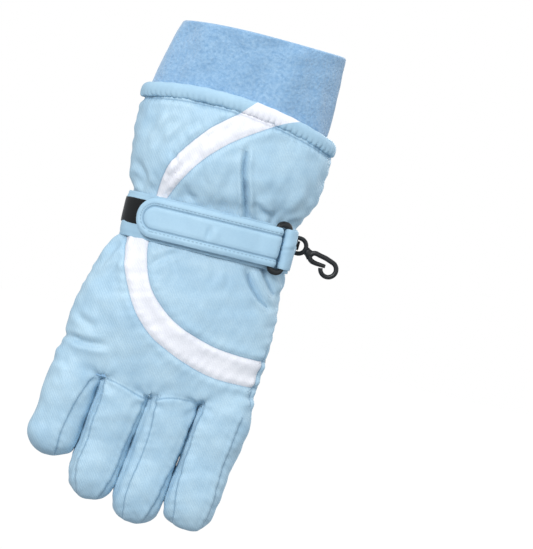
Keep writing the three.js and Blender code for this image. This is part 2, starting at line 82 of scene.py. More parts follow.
# Fingers: root (x, depth), half-width and half-thickness at root and tip, length, and where the
# middle bend is along it.
FINGERS = {
    "little": dict(x=-61.6, depth=233.0, wide=(17.1, 16.9), deep=(15.0, 14.0), length=54.0, bend=24.5),
    "ring": dict(x=-29.6, depth=236.0, wide=(17.4, 16.9), deep=(15.2, 14.0), length=72.0, bend=34.0),
    "middle": dict(x=2.0, depth=237.0, wide=(16.9, 16.6), deep=(15.2, 14.0), length=79.0, bend=37.5),
    "index": dict(x=34.6, depth=236.0, wide=(17.7, 16.7), deep=(15.2, 14.0), length=76.5, bend=36.0),
}
FINGER_NAMES = list(FINGERS)
LEAN = math.radians(7.5)  # of the fingers, towards the little finger's side
SPREAD = 5.0  # fingers are drawn this much further apart, then brought back
CROTCH = {0: 231.5, 1: 237.5, 2: 234.0}  # depth of the web after little, ring and middle

THUMB = dict(x=20.0, y=38.5, depth=186.0, wide=(24.0, 20.5), deep=(16.0, 14.5), length=80.0, bend=36.0)
THUMB_LEAN = math.radians(9)
THUMB_OFF = math.radians(28)

# White strips, as (x, depth) along their two edges.
HAND_STRIP_LOW = [
    *((-53.5, 126), (-51.6, 140), (-49.5, 150), (-46.3, 162), (-40, 176), (-31, 189)),
    *((-19.8, 199), (-7, 205.5), (8.5, 211.5), (21, 214.6), (36, 215.4), (60, 215)),
]
HAND_STRIP_HIGH = [
    *((-37.6, 126), (-36.4, 140), (-35, 150), (-31.4, 162), (-25, 172.6), (-14.8, 182)),
    *((-4, 188.4), (11.7, 194), (24, 196.6), (40, 197.8), (60, 198)),
]
CUFF_STRIP_LEFT = [
    *((17, 34), (1.6, 50.4), (-13.5, 63), (-26, 77.5)),
    *((-33.7, 90), (-37.4, 102.7), (-38.2, 116), (-38.2, 128)),
]
CUFF_STRIP_RIGHT = [
    *((60, 38), (41, 46), (27, 52), (12.7, 61), (4, 67), (-4, 73.5)),
    *((-14.5, 84), (-22, 94.5), (-29, 107), (-33, 117), (-34, 128)),
]

# ---- Numbers along a curve ----------------------------------------------------------------


def smooth_steps(keys, values, reach=4.0, step=0.5):
    grid = np.arange(keys[0] - 40, keys[-1] + 40, step)
    flat = np.interp(grid, keys, values)
    kernel = np.hanning(int(2 * reach / step) + 3)
    kernel /= kernel.sum()
    pad = len(kernel) // 2
    return grid, np.convolve(np.pad(flat, pad, mode="edge"), kernel, mode="valid")


BODY_TABLES = [smooth_steps(BODY[:, 0], BODY[:, i]) for i in range(1, 5)]


def section(depth):
    return [np.interp(depth, grid, values) for grid, values in BODY_TABLES]


def rounded_line(points, steps=8):
    """A smooth curve through the points."""
    p = np.array(points, float)
    p = np.vstack([2 * p[0] - p[1], p, 2 * p[-1] - p[-2]])
    t = np.linspace(0, 1, steps, endpoint=False)[:, None]
    out = []
    for a, b, c, d in zip(p[:-3], p[1:-2], p[2:-1], p[3:]):
        square, cube = 2 * a - 5 * b + 4 * c - d, 3 * b - a - 3 * c + d
        out.append(0.5 * (2 * b + (c - a) * t + square * t**2 + cube * t**3))
    return np.vstack(out + [p[-2:-1]])


def line_distance(points, x, y):
    """Signed distance to a smooth curve (positive to its left), and the distance along it."""
    line = rounded_line(points)
    best = np.full(x.shape, 1e9)
    side = np.ones(x.shape)
    along = np.zeros(x.shape)
    start = 0.0
    for a, b in zip(line[:-1], line[1:]):
        d = b - a
        size = math.hypot(*d)
        if size < 1e-9:
            continue
        t = np.clip(((x - a[0]) * d[0] + (y - a[1]) * d[1]) / size**2, 0, 1)
        dx, dy = x - a[0] - t * d[0], y - a[1] - t * d[1]
        gap = np.hypot(dx, dy)
        near = gap < best
        best = np.where(near, gap, best)
        side = np.where(near, np.sign(d[0] * dy - d[1] * dx), side)
        along = np.where(near, start + t * size, along)
        start += size
    return best * side, along


def ramp(value, low, high):
    t = np.clip((value - low) / (high - low), 0, 1)
    return t * t * (3 - 2 * t)


def bump(value, centre, width):
    return np.exp(-(((value - centre) / width) ** 2))


class Noise:
    """Smooth noise in space, from a few random waves of about one wavelength."""

    def __init__(self, size, waves=14, seed=0):
        made = np.random.default_rng(seed)
        d = made.normal(size=(waves, 3))
        d /= np.linalg.norm(d, axis=1)[:, None]
        self.k = d * (2 * math.pi / size) * made.uniform(0.6, 1.5, (waves, 1))
        self.p = made.uniform(0, 2 * math.pi, waves)

    def __call__(self, x, y, z):
        total = 0
        for (a, b, c), p in zip(self.k, self.p):
            total = total + np.sin(a * x + b * y + c * z + p)
        return total / math.sqrt(len(self.p) / 2)


# ---- The skin's solid shape ----------------------------------------------------------------


def oval(x, y, wide, deep, n):
    r = (np.abs(x / wide) ** n + np.abs(y / deep) ** n) ** (1 / n)
    return (r - 1) * np.minimum(wide, deep)


def blended_min(a, b, k):
    h = np.clip(0.5 + 0.5 * (b - a) / k, 0, 1)
    return b + (a - b) * h - k * h * (1 - h)


def blended_max(a, b, k):
    return -blended_min(-a, -b, k)


def finger_local(name, x, y, z):
    f = FINGERS[name]
    dx, dz = x - f["x"], z + f["depth"]
    across = dx * math.cos(LEAN) - dz * math.sin(LEAN)
    along = -(dx * math.sin(LEAN) + dz * math.cos(LEAN))
    return across, y, along


THUMB_PLACE = Matrix.Translation((THUMB["x"], THUMB["y"], -THUMB["depth"])) @ (
    Matrix.Rotation(THUMB_OFF, 4, "X") @ Matrix.Rotation(THUMB_LEAN, 4, "Y")
)
THUMB_BACK = np.array(THUMB_PLACE.inverted())


def thumb_local(x, y, z):
    m = THUMB_BACK
    across = m[0][0] * x + m[0][1] * y + m[0][2] * z + m[0][3]
    off = m[1][0] * x + m[1][1] * y + m[1][2] * z + m[1][3]
    along = -(m[2][0] * x + m[2][1] * y + m[2][2] * z + m[2][3])
    return across, off, along


def digit(across, off, along, form, n=2.25):
    share = np.clip(along / form["length"], 0, 1)
    wide = form["wide"][0] + (form["wide"][1] - form["wide"][0]) * share
    deep = form["deep"][0] + (form["deep"][1] - form["deep"][0]) * share
    bend = bump(along, form["bend"], 9.0)
    wide = wide - 0.35 * bend
    deep = deep - 0.7 * bend
    cap = form["wide"][1] * 1.02
    end = np.maximum(0, (along - (form["length"] - cap)) / cap)
    r = (np.abs(across / wide) ** n + np.abs(off / deep) ** n + end**n) ** (1 / n)
    return (r - 1) * np.minimum(wide, deep)


def spread_of(index, z):
    return (index - 1.5) * SPREAD * ramp(-z, 224, 246)


def web_depth(x):
    """The depth at which the hand ends between fingers."""
    xs, ds = [-95], [226.0]
    for i in range(3):
        a, b = FINGERS[FINGER_NAMES[i]], FINGERS[FINGER_NAMES[i + 1]]
        xs.append((a["x"] + b["x"]) / 2)
        ds.append(CROTCH[i])
    return np.interp(x, xs + [70], ds + [230.0])


def field(x, y, z):
    """Below 0 inside the glove's skin, with the fingers spread."""
    depth = -z
    cx, wide, deep, n = section(depth)
    hand = oval(x - cx, y, wide, deep, n)
    hand = blended_max(hand, depth - web_depth(x) + 1.5, 5.0)
    for i, name in enumerate(FINGER_NAMES):
        across, off, along = finger_local(name, x - spread_of(i, z), y, z)
        form = FINGERS[name]
        f = digit(across, off, along, form) + 0.28 * np.maximum(-1 - along, 0)
        f = np.where(along < -14, f + (-14 - along), f)
        hand = blended_min(hand, f, 2.6)
    return blended_min(hand, thumb_shape(x, y, z), 9.0)


def thumb_shape(x, y, z):
    across, off, along = thumb_local(x, y, z)
    pad = np.interp(along, [-62, -50, -30, -12, 0, 14], [6, 11, 20, 25.5, 24.6, 22])
    fat = np.interp(along, [-62, -50, -30, -12, 0, 14], [4, 8, 13, 16.2, 16.1, 14.2])
    root = (np.hypot(across / pad, off / fat) - 1) * fat
    root = np.maximum(root, np.maximum(along - 14, -58 - along))
    tip = digit(across, off, along, THUMB) + 0.2 * np.maximum(3 - along, 0)
    tip = np.where(along < -24, tip + (-24 - along), tip)
    return blended_min(root, tip, 4.0)


def thumb_minus_hand(x, y, z):
    cx, wide, deep, n = section(-z)
    return thumb_shape(x, y, z) - oval(x - cx, y, wide, deep, n)


# ---- Meshes as arrays ----------------------------------------------------------------------


class Skin:
    """Points, their normals and numbers, and triangles."""

    def __init__(self, points, faces, normals=None, numbers=None):
        self.points, self.faces = points, faces
        self.normals = normals
        self.numbers = numbers or {}

    def cut(self, values):
        """The two parts where values are below and above 0."""
        values = np.where(np.abs(values) < 1e-6, 1e-6, values)
        sides = values[self.faces] > 0
        count = sides.sum(1)
        crossing = (count == 1) | (count == 2)
        odd = np.argmax(np.where(count[:, None] == 1, sides, ~sides), 1)
        tri = self.faces[crossing]
        k = odd[crossing]
        rows = np.arange(len(tri))
        a, b, c = tri[rows, k], tri[rows, (k + 1) % 3], tri[rows, (k + 2) % 3]
        pairs = np.sort(np.vstack([np.stack([a, b], 1), np.stack([a, c], 1)]), 1)
        edges, back = np.unique(pairs, axis=0, return_inverse=True)
        back = back.ravel() + len(self.points)
        t = values[edges[:, 0]] / (values[edges[:, 0]] - values[edges[:, 1]])

        def mix(data):
            between = (data[edges[:, 0]].T * (1 - t) + data[edges[:, 1]].T * t).T
            return np.concatenate([data, between])

        ab, ac = back[: len(tri)], back[len(tri) :]
        tip = np.stack([a, ab, ac], 1)
        rest = np.vstack([np.stack([ab, b, c], 1), np.stack([ab, c, ac], 1)])
        tip_high = sides[crossing][rows, k]
        whole = self.faces[~crossing]
        whole_high = sides[~crossing][:, 0]
        both = np.concatenate([tip_high, tip_high])
        low = np.vstack([whole[~whole_high], tip[~tip_high], rest[both]])
        high = np.vstack([whole[whole_high], tip[tip_high], rest[~both]])
        parts = []
        for faces in (low, high):
            numbers = {n: mix(v) for n, v in self.numbers.items()}
            part = Skin(mix(self.points), faces, mix(self.normals), numbers)
            parts.append(part.compact())
        return parts

    def compact(self):
        used, faces = np.unique(self.faces, return_inverse=True)
        faces = faces.reshape(-1, 3)
        numbers = {n: v[used] for n, v in self.numbers.items()}
        return Skin(self.points[used], faces, self.normals[used], numbers)


def surface(low, high, step):
    """Draws the field's zero surface, as one point per grid cell it passes through."""
    axes = [np.arange(a, b + step, step) for a, b in zip(low, high)]
    shape = [len(a) for a in axes]
    x, y = np.meshgrid(axes[0], axes[1], indexing="ij")
    values = np.empty(shape, np.float32)
    for k, z in enumerate(axes[2]):
        values[:, :, k] = field(x, y, np.full_like(x, z))
    inside = values < 0
    cells = [n - 1 for n in shape]
    total = np.zeros(cells + [3])
    count = np.zeros(cells)
    for axis in range(3):
        near, far = [slice(None)] * 3, [slice(None)] * 3
        near[axis], far[axis] = slice(None, -1), slice(1, None)
        a, b = values[tuple(near)], values[tuple(far)]
        cross = (a < 0) != (b < 0)
        t = np.where(cross, a / np.where(cross, a - b, 1), 0)
        others = [i for i in range(3) if i != axis]
        for p in (0, 1):
            for q in (0, 1):
                index = [slice(None)] * 3
                for o, s in zip(others, (p, q)):
                    index[o] = slice(s, s + cells[o])
                c, u = cross[tuple(index)], t[tuple(index)]
                count += c
                for j in range(3):
                    total[..., j] += c * (u if j == axis else (p if j == others[0] else q))
    live = count > 0
    number = np.full(cells, -1)
    number[live] = np.arange(live.sum())
    base = np.stack(np.nonzero(live), 1)
    points = (base + total[live] / count[live][:, None]) * step + np.array(low)
    quads = []
    for axis in range(3):
        o1, o2 = (axis + 1) % 3, (axis + 2) % 3
        first = [slice(1, -1)] * 3
        first[axis] = slice(0, -1)
        second = list(first)
        second[axis] = slice(1, None)
        a, b = inside[tuple(first)], inside[tuple(second)]
        at = np.stack(np.nonzero(a != b), 1)
        out = a[tuple(at.T)]
        at = at + np.array([0 if i == axis else 1 for i in range(3)])
        e1, e2 = np.eye(3, dtype=int)[o1], np.eye(3, dtype=int)[o2]
        ring = [number[tuple((at - d).T)] for d in (e1 + e2, e2, 0 * e1, e1)]
        quad = np.stack(ring, 1)
        quad[~out] = quad[~out][:, ::-1]
        quads.append(quad)
    quads = np.vstack(quads)
    quads = quads[(quads >= 0).all(1)]
    return points, np.vstack([quads[:, [0, 1, 2]], quads[:, [0, 2, 3]]])


def slope(function, p, size=0.4):
    out = []
    for axis in range(3):
        step = np.zeros(3)
        step[axis] = size
        out.append((function(*(p + step).T) - function(*(p - step).T)) / (2 * size))
    return np.stack(out, 1)


def point_normals(points, faces):
    a, b, c = (points[faces[:, i]] for i in range(3))
    flat = np.cross(b - a, c - a)
    total = np.zeros_like(points)
    for i in range(3):
        for j in range(3):
            total[:, j] += np.bincount(faces[:, i], flat[:, j], len(points))
    return total / np.maximum(np.linalg.norm(total, axis=1), 1e-12)[:, None]


def neighbour_mean(points, faces):
    total = np.zeros_like(points)
    count = np.zeros(len(points))
    for i in range(3):
        for k in (1, 2):
            other = faces[:, (i + k) % 3]
            count += np.bincount(faces[:, i], minlength=len(points))
            for j in range(3):
                total[:, j] += np.bincount(faces[:, i], points[other, j], len(points))
    return total / np.maximum(count, 1)[:, None]


def draw_skin():
    points, faces = surface((-98, -36, -322), (66, 98, -34), GRID)
    for _ in range(3):
        g = slope(field, points)
        f = field(*points.T)
        points = points - (f / np.maximum((g**2).sum(1), 0.05))[:, None] * g * 0.9
    for _ in range(2):
        points = points + 0.5 * (neighbour_mean(points, faces) - points)
    return points, faces


def which_finger(points):
    """The finger that each point of the spread skin is nearest to."""
    x, y, z = points.T
    across = [np.abs(finger_local(n, x - spread_of(i, z), y, z)[0]) for i, n in enumerate(FINGER_NAMES)]
    return np.argmin(np.stack(across, 1), 1)


# ---- Seams, puckers and folds --------------------------------------------------------------

soft = Noise(34, seed=1)
crumple = Noise(15, seed=2)
ripple = Noise(8, seed=3)
wander = Noise(22, seed=4)


def seam_relief(s, along, depth=1.0, width=1.3, puff=0.5, pucker=0.3, pitch=6.5, phase=0.0):
    """How far the cloth stands out beside a seam: a groove, a puffed edge and puckers across it."""
    groove = -depth * np.exp(-((s / width) ** 2))
    edge = puff * np.exp(-(((np.abs(s) - 3.4) / 2.6) ** 2))
    wave = np.sin(2 * math.pi * (along + 0.35 * s) / pitch + phase + 1.6 * np.sin(along / 9.0 + phase))
    return groove + edge + pucker * wave * np.exp(-np.abs(s) / 5.0) * (1 - np.exp(-((s / 1.2) ** 2)))


def lapped_relief(s, along, puff=0.7, drop=0.6, pucker=0.25, pitch=6.0, phase=0.0):
    """A seam whose one side (s above 0) stands proud as a ridge over the other."""
    ridge = puff * np.exp(-(((s - 1.5) / 1.3) ** 2)) + 0.3 * puff * np.exp(-((s - 4) / 4) ** 2)
    under = -drop * np.exp(-(((s + 0.9) / 1.3) ** 2)) - 0.35 * drop * np.exp(-(((s + 4) / 3) ** 2))
    wave = np.sin(2 * math.pi * (along + 0.3 * s) / pitch + phase + 1.5 * np.sin(along / 8.0 + phase))
    return ridge + under + pucker * wave * np.exp(-np.abs(s) / 3.5)


def finger_edge(across, along, form, left, right, tip):
    """Distance inside a digit's panel, whose edge runs down both sides and round the tip."""
    half = 0.5 * (form["wide"][0] + form["wide"][1])
    lo, hi = -half + left, half - right
    middle, radius = (lo + hi) / 2, (hi - lo) / 2
    end = form["length"] - tip - radius
    side = radius - np.abs(across - middle)
    cap = radius - np.hypot(across - middle, np.maximum(along - end, 0))
    return np.where(along > end, cap, side)


# The seams down the back of each finger, as (across, along): the left one, then the right one.
FINGER_SEAMS = {
    "little": (
        None,
        [(11.4, -3), (8.0, 8), (6.1, 18.5), (4.7, 35), (5.6, 48), (5.0, 60)],
    ),
    "ring": (
        [(-14, -4), (-11.8, 7), (-11.4, 21), (-10.9, 37), (-11.2, 54), (-7, 66), (-1, 76)],
        [(14.6, -4), (13.8, 4), (13.2, 32), (12.4, 55), (8, 70), (4, 78)],
    ),
    "middle": (
        [(-11.5, -4), (-8.8, 8), (-7.1, 24), (-7, 43), (-7.4, 60), (-5.6, 72), (-2, 84)],
        [(15.6, -4), (14.8, 30), (12.4, 48), (11.6, 62), (9, 74), (5, 84)],
    ),
    "index": (
        [(-14.4, -5), (-13.5, 6), (-13.4, 20), (-12.4, 38), (-10.4, 54), (-6.6, 72), (-5, 82)],
        [(11.2, -12), (11.5, -2), (11.6, 12), (11.5, 31), (12.4, 46), (13.4, 58), (12.4, 70), (9, 80)],
    ),
}
# Seams across the roots of the fingers, and the thumb's seam on the palm, as (x, depth).
ROOT_SEAMS = (
    [(-43.4, 230.4), (-36, 231.4), (-28.3, 233.6), (-21, 236), (-14.5, 237.6)],
    [(-9.5, 237), (-3, 233.8), (6, 232.4), (16.5, 233.2)],
)
THUMB_SEAM = [(9, 128), (6, 138), (3.5, 152), (1.8, 164), (1.2, 178)]
# Creases in the back, each as its line in (x, depth), how deep it is and how broad; those deeper than 2 mm
# also get a painted shade line down the valley.
CREASES = (
    ([(27.5, 141), (31, 149), (37, 157), (44, 162.5), (50, 166)], 2.5, 1.6),
    ([(-12, 141), (-24, 148), (-34, 158)], 1.1, 1.8),
    ([(12, 141), (17, 151), (16, 163)], 0.7, 2.2),
    ([(36.8, 137), (40, 144), (45, 151), (50.5, 158)], 2.1, 1.7),
    ([(-44, 138), (-50, 149), (-55, 162), (-60, 172)], 1.3, 2.1),
    ([(-50, 139), (-57.5, 152), (-63, 166)], 1.7, 1.8),
    ([(-73, 210), (-64, 211.5), (-52, 211), (-44, 209)], 1.7, 1.9),
    ([(-74, 224), (-68, 229), (-64, 236)], 0.7, 2.2),
    ([(-72, 195), (-62, 199), (-54, 201)], 0.9, 1.9),
    ([(52, 219), (44, 222), (36, 221)], 0.5, 2.6),
    ([(-22, 141), (-17, 152), (-14, 164)], 0.5, 2.8),
    ([(6, 141), (9, 150), (8, 160)], 0.45, 3.0),
)
CUFF_CREASES = (
    ([(9.6, 66), (10.6, 76), (12, 86), (15.6, 98), (19.4, 113)], 3.0, 1.4),
    ([(13, 89), (16, 99), (19.6, 112), (21, 120)], 2.3, 1.5),
    ([(-57, 92), (-50, 101), (-44, 110)], 1.5, 1.8),
    ([(-58, 101), (-51, 106), (-44, 112)], 1.1, 1.5),
    ([(-48, 60), (-52, 72), (-55, 84)], 1.2, 2.4),
    ([(-36, 60), (-43, 72), (-47, 86)], 1.1, 2.2),
    ([(-25, 62), (-32, 71), (-38, 82)], 0.9, 2.0),
    ([(3, 52), (-0.3, 56), (-4, 62), (-7, 66)], 0.9, 1.3),
    ([(-35, 83), (-31, 88), (-29, 93)], 0.9, 1.3),
    ([(-27, 91), (-30, 98), (-34, 106)], 1.1, 1.4),
    ([(-7, 60), (-13, 68), (-19, 73)], 1.0, 1.5),
    ([(-22, 84), (-27, 92), (-33, 101)], 1.0, 1.6),
    ([(-15, 86), (-13, 94), (-8, 101)], 0.9, 2.2),
    ([(-24, 99), (-20, 106), (-13, 111)], 1.1, 1.8),
    ([(3, 84), (4, 95), (-1, 106)], 0.7, 2.4),
    ([(20, 102), (28, 107), (36, 110)], 1.3, 2.0),
    ([(58, 86), (53, 96), (46, 107)], 1.1, 2.4),
    ([(40, 80), (42, 92), (40, 106)], 0.6, 3.0),
    ([(48, 60), (52, 72), (53, 82)], 0.5, 3.0),
)


def shape_skin():
    points, faces = draw_skin()
    owner = which_finger(points)
    base_depth = -points[:, 2].copy()
    locals_ = [
        finger_local(n, points[:, 0] - spread_of(i, points[:, 2]), *points[:, 1:].T)
        for i, n in enumerate(FINGER_NAMES)
    ]
    gaps = [locals_[i][0] + locals_[i + 1][0] for i in range(3)]
    finger_run = np.stack([q[2] for q in locals_], 1)[np.arange(len(points)), owner]
    thumb_split = np.maximum(thumb_minus_hand(*points.T), -13 - thumb_local(*points.T)[2])
    # the fingers come back together
    shift = np.zeros(len(points))
    for i in range(4):
        mine = owner == i
        shift[mine] = spread_of(i, points[mine, 2])
    _, thumb_off, thumb_along = thumb_local(*points.T)
    is_thumb = (points[:, 1] > 24.5) | ((thumb_off > -17) & (thumb_along > 6) & (points[:, 1] > 17))
    shift[is_thumb] = 0
    points = points.copy()
    points[:, 0] -= shift
    normals = point_normals(points, faces)
    x, y, z = points.T
    depth = -z
    back = ramp(-normals[:, 1], -0.05, 0.35)
    palm = ramp(normals[:, 1], -0.05, 0.35)
    out = np.zeros(len(points))
    seam = np.full(len(points), 30.0)
    run = np.zeros(len(points))

    # Adds relief and records the nearest line, which the cloth darkens: real seams, and painted shade lines
    # along deep creases and just under the hem.
    def add_seam_and_shade_line(s, along, mask, relief=seam_relief, **look):
        nonlocal out, seam, run
        out += mask * relief(s, along, **look)
        near = (np.abs(s) < np.abs(seam)) & (mask > 0.4)
        seam = np.where(near, s, seam)
        run = np.where(near, along, run)

    on_hand = ramp(depth, 128, 136) * (1 - is_thumb)
    low, low_run = line_distance(HAND_STRIP_LOW, x, depth)
    high, high_run = line_distance(HAND_STRIP_HIGH, x, depth)
    add_seam_and_shade_line(low, low_run, back * on_hand, depth=0.9, puff=0.55, pucker=0.34)
    add_seam_and_shade_line(high, high_run, back * on_hand, depth=0.9, puff=0.5, pucker=0.3, phase=2.0)
    left, left_run = line_distance(CUFF_STRIP_LEFT, x, depth)
    right, right_run = line_distance(CUFF_STRIP_RIGHT, x, depth)
    on_cuff = ramp(-depth, -118, -112)
    add_seam_and_shade_line(left, left_run, back * on_cuff, depth=0.9, puff=0.5, pucker=0.3, phase=1.0)
    add_seam_and_shade_line(right, right_run, back * on_cuff, depth=0.9, puff=0.5, pucker=0.3, phase=4.0)
    # side seams between back and palm
    cx, wide, deep, n = section(depth)
    on_body = (1 - ramp(depth, 222, 232)) * (1 - is_thumb)
    side = y - 3.0 + 10.0 * ramp(x, 20, 40) * ramp(depth, 160, 200)
    at_side = ramp(np.abs(x - cx) / wide, 0.8, 0.93)
    add_seam_and_shade_line(side, depth, on_body * at_side, depth=0.8, width=1.2, puff=0.5, pucker=0.5, pitch=8.0)
    # finger seams
    for i, name in enumerate(FINGER_NAMES):
        form = FINGERS[name]
        mine = (owner == i) & ~is_thumb
        across, _, along = finger_local(name, x, y, z)
        start = ramp(along, -6, 1)
        for sign, line in zip((-1, 1), FINGER_SEAMS[name]):
            if line is None:
                continue
            s, s_run = line_distance(line, across, along)
            seam_mask = mine * start * back * ramp(form["length"] + 1 - along, 0, 5)
            deep_side = 0.75 if sign < 0 else 0.45
            add_seam_and_shade_line(s * sign, s_run, seam_mask, relief=lapped_relief, puff=0.6, drop=deep_side, phase=i)
        inner = finger_edge(across, along, form, 4.5, 4.5, 5.0)
        look = dict(depth=0.8, width=1.15, puff=0.4, pucker=0.3, pitch=7.0, phase=i + 2)
        add_seam_and_shade_line(inner, along, mine * start * palm, **look)
        # the pads between bends
        bend = form["bend"]
        pads = 0.5 * bump(along, bend * 0.45, 9) + 0.45 * bump(along, bend + 17, 10)
        out += mine * pads * ramp(along, 2, 10)
        crease = bump(along, bend + 0.12 * across, 1.7) * (0.55 * palm + 0.12 * back)
        crease += bump(along, bend - 5 - 0.1 * across, 1.6) * 0.3 * palm
        out -= mine * crease
    for line in ROOT_SEAMS:
        s, s_run = line_distance(line, x, depth)
        length = s_run.max()
        fade = ramp(s_run, 0, 2.5) * ramp(length - s_run, 0, 2.5) * (np.abs(s) < 12)
        look = dict(relief=lapped_relief, puff=0.55, drop=0.55, pucker=0.2)
        add_seam_and_shade_line(s, s_run, fade * back * (1 - is_thumb), **look)
    for lines, where in ((CREASES, on_hand), (CUFF_CREASES, on_cuff)):
        for line, deep_in, broad in lines:
            s, s_run = line_distance(line, x, depth)
            length = s_run.max()
            fade = ramp(s_run, -0.1, 0.3 * length) * ramp(length - s_run, -0.1, 0.3 * length)
            beside = np.exp(-(((np.abs(s) - 2.3 * broad) / (1.1 * broad)) ** 2))
            fold = np.exp(-((s / broad) ** 2)) - 0.5 * beside
            mask = fade * ramp(-normals[:, 1], 0.0, 0.3) * where
            out -= deep_in * fold * mask
            # deep creases also get a painted shade line down their valley: a zero-relief line that the cloth
            # darkens like a seam
            if deep_in > 2:
                add_seam_and_shade_line(0.6 * s, s_run, mask, relief=lambda s, along: 0 * s)
    # the pinch in the little finger's side of the hand
    out -= 1.7 * bump(depth, 210.4, 2.0) * ramp(-x, 60, 67) * ramp(-y, -9, -2)
    # thumb seams
    t_across, t_off, t_along = thumb_local(x, y, z)
    t_mask = is_thumb * ramp(t_along - 12 * (t_across > 0), -16, -8)
    s, s_run = line_distance(THUMB_SEAM, x, depth)
    from_thumb = ramp(s_run, 0, 4) * palm * (1 - is_thumb) * (np.abs(s) < 8)
    from_thumb = from_thumb * ramp(THUMB_SEAM[-1][1] + 4 - depth, 0, 4)
    add_seam_and_shade_line(s, s_run, from_thumb, relief=lapped_relief, puff=0.8, drop=0.7)
    edge = finger_edge(t_across, t_along, THUMB, 3.6, 3.6, 4.0)
    outer = ramp(t_off, -2, 4)
    add_seam_and_shade_line(edge, t_along, t_mask * outer, depth=0.9, width=1.2, puff=0.5, pucker=0.35, pitch=7.0)
    out += is_thumb * 0.5 * bump(t_along, 58, 12)
    # gathers at the wrist: folds run down from the band and fade out
    fold_x = x + 3.5 * wander(x, y, z * 0.6)
    narrow = np.sin(2 * math.pi * fold_x / 9.5 + 0.6 * soft(x, y, z))
    folds = narrow * 0.5 + np.sin(2 * math.pi * fold_x / 15.0 + 1.0) * 0.5
    under = ramp(depth, 139.5, 144) * np.exp(-np.maximum(depth - 141, 0) / 13)
    sides = 0.25 + 0.75 * ramp(np.abs(x - cx) / wide, 0.45, 0.85)
    out += 1.25 * folds * under * sides * (1 - is_thumb)
    above = ramp(-depth, -117, -110) * np.exp(-np.maximum(109 - depth, 0) / 10)
    out += 1.3 * folds * above * (0.35 + 0.65 * ramp(np.abs(x - cx) / wide, 0.3, 0.85))
    under_hem = depth - 50.6 - HEM["tilt"] * x - HEM["arch"] * x * x
    around = np.arctan2(y / deep, (x - cx) / wide)
    arc = around * (wide + deep) / 2
    out -= (2.3 - 1.6 * palm) * np.exp(-((np.maximum(under_hem, 0) / 2.3) ** 2)) * on_cuff
    gather = np.sin(2 * math.pi * arc / 4.6 + 1.2 * wander(x, y, z))
    gather = gather + 0.5 * np.sin(2 * math.pi * arc / 9.7 + 2)
    # painted shade: a zero-relief dark line on the cuff just under the hem's lower edge, where the roll
    # overhangs it
    add_seam_and_shade_line(under_hem - 0.9, arc, on_cuff * (under_hem < 4), relief=lambda s, along: 0 * s)
    out += 0.34 * gather * np.exp(-np.maximum(under_hem, 0) / 4.5) * on_cuff
    # pleats under the elastic on the palm side
    elastic = bump(depth, 123.5, 10.5) * ramp(y, 2, 9)
    zigzag = 1.25 * np.sin(2 * math.pi * depth / 13.0 + 2.5 * soft(y, z, x))
    pleats = np.sin(around * 31 + zigzag + 1.2 * soft(x, y, z))
    small = np.sin(around * 47 - 1.6 * zigzag + 1.5 * crumple(x, y, z))
    out += elastic * (1.35 * pleats + 0.6 * small * (0.4 + 0.6 * bump(depth, 124, 8)) + 1.0)
    # soft dents everywhere
    out += 0.38 * soft(x, y, z) + 0.25 * crumple(x, y, z) + 0.07 * ripple(x, y, z)
    crotch = np.zeros(len(points))
    for i in range(3):
        a, b = FINGERS[FINGER_NAMES[i]], FINGERS[FINGER_NAMES[i + 1]]
        wx = (a["x"] + b["x"]) / 2 + 1.0
        r = np.hypot(x - wx, depth - CROTCH[i] - 1)
        angle = np.arctan2(depth - CROTCH[i], x - wx)
        star = np.cos(angle * 6 + i) * bump(r, 7.5, 5.5)
        slit = np.exp(-((x - wx + 0.13 * (depth - CROTCH[i])) ** 2) / 3.0)
        crotch += star * 0.55 - 1.2 * slit * ramp(depth, CROTCH[i] - 9, CROTCH[i])
    out += crotch * (1 - is_thumb) * ramp(depth, 212, 222)
    points = points + normals * out[:, None]
    points = points + 0.35 * (neighbour_mean(points, faces) - points)
    made = Skin(points, faces, point_normals(points, faces))
    made.numbers = {"seam": seam, "run": run, "near": ramp(np.abs(seam), 3.4, 2.4)}
    made.numbers |= {"low": low, "high": high, "left": left, "right": right, "side": side}
    made.numbers |= {"base_depth": base_depth, **{f"gap{i}": gap for i, gap in enumerate(gaps)}}
    made.numbers |= {"finger_along": finger_run, "thumb": thumb_split, "thumb_along": t_along}
    return made


# ---- Into Blender --------------------------------------------------------------------------


def add(name, points, faces, material, normals=None, numbers=None, smooth=True):
    mesh = bpy.data.meshes.new(name)
    corners = [tuple(int(i) for i in f) for f in faces]
    mesh.from_pydata([tuple(p) for p in np.asarray(points) * MM], [], corners)
    if smooth:
        mesh.shade_smooth()
    for key, values in (numbers or {}).items():
        data = mesh.attributes.new(key, "FLOAT", "POINT").data
        data.foreach_set("value", values.astype(np.float32))
    if normals is not None:
        mesh.normals_split_custom_set_from_vertices([tuple(n) for n in normals])
    mesh.materials.append(material)
    obj = bpy.data.objects.new(name, mesh)
    bpy.context.scene.collection.objects.link(obj)
    return obj


def add_skin(name, part, material):
    return add(name, part.points, part.faces, material, part.normals, part.numbers)


def tube(rings, closed=True):
    """Faces over rings of points, each ring closed."""
    rows, cols = rings.shape[:2]
    index = np.arange(rows * cols).reshape(rows, cols)
    near = index[:-1]
    far = index[1:]
    if not closed:
        a, b, c, d = near[:, :-1], near[:, 1:], far[:, 1:], far[:, :-1]
    else:
        a, b = near, np.roll(near, -1, 1)
        d, c = far, np.roll(far, -1, 1)
    return np.stack([a.ravel(), b.ravel(), c.ravel(), d.ravel()], 1)


# ---- Materials -----------------------------------------------------------------------------


def srgb(r, g, b):
    lin = lambda c: c / 12.92 if c <= 0.04045 else ((c + 0.055) / 1.055) ** 2.4
    return (lin(r / 255), lin(g / 255), lin(b / 255), 1)


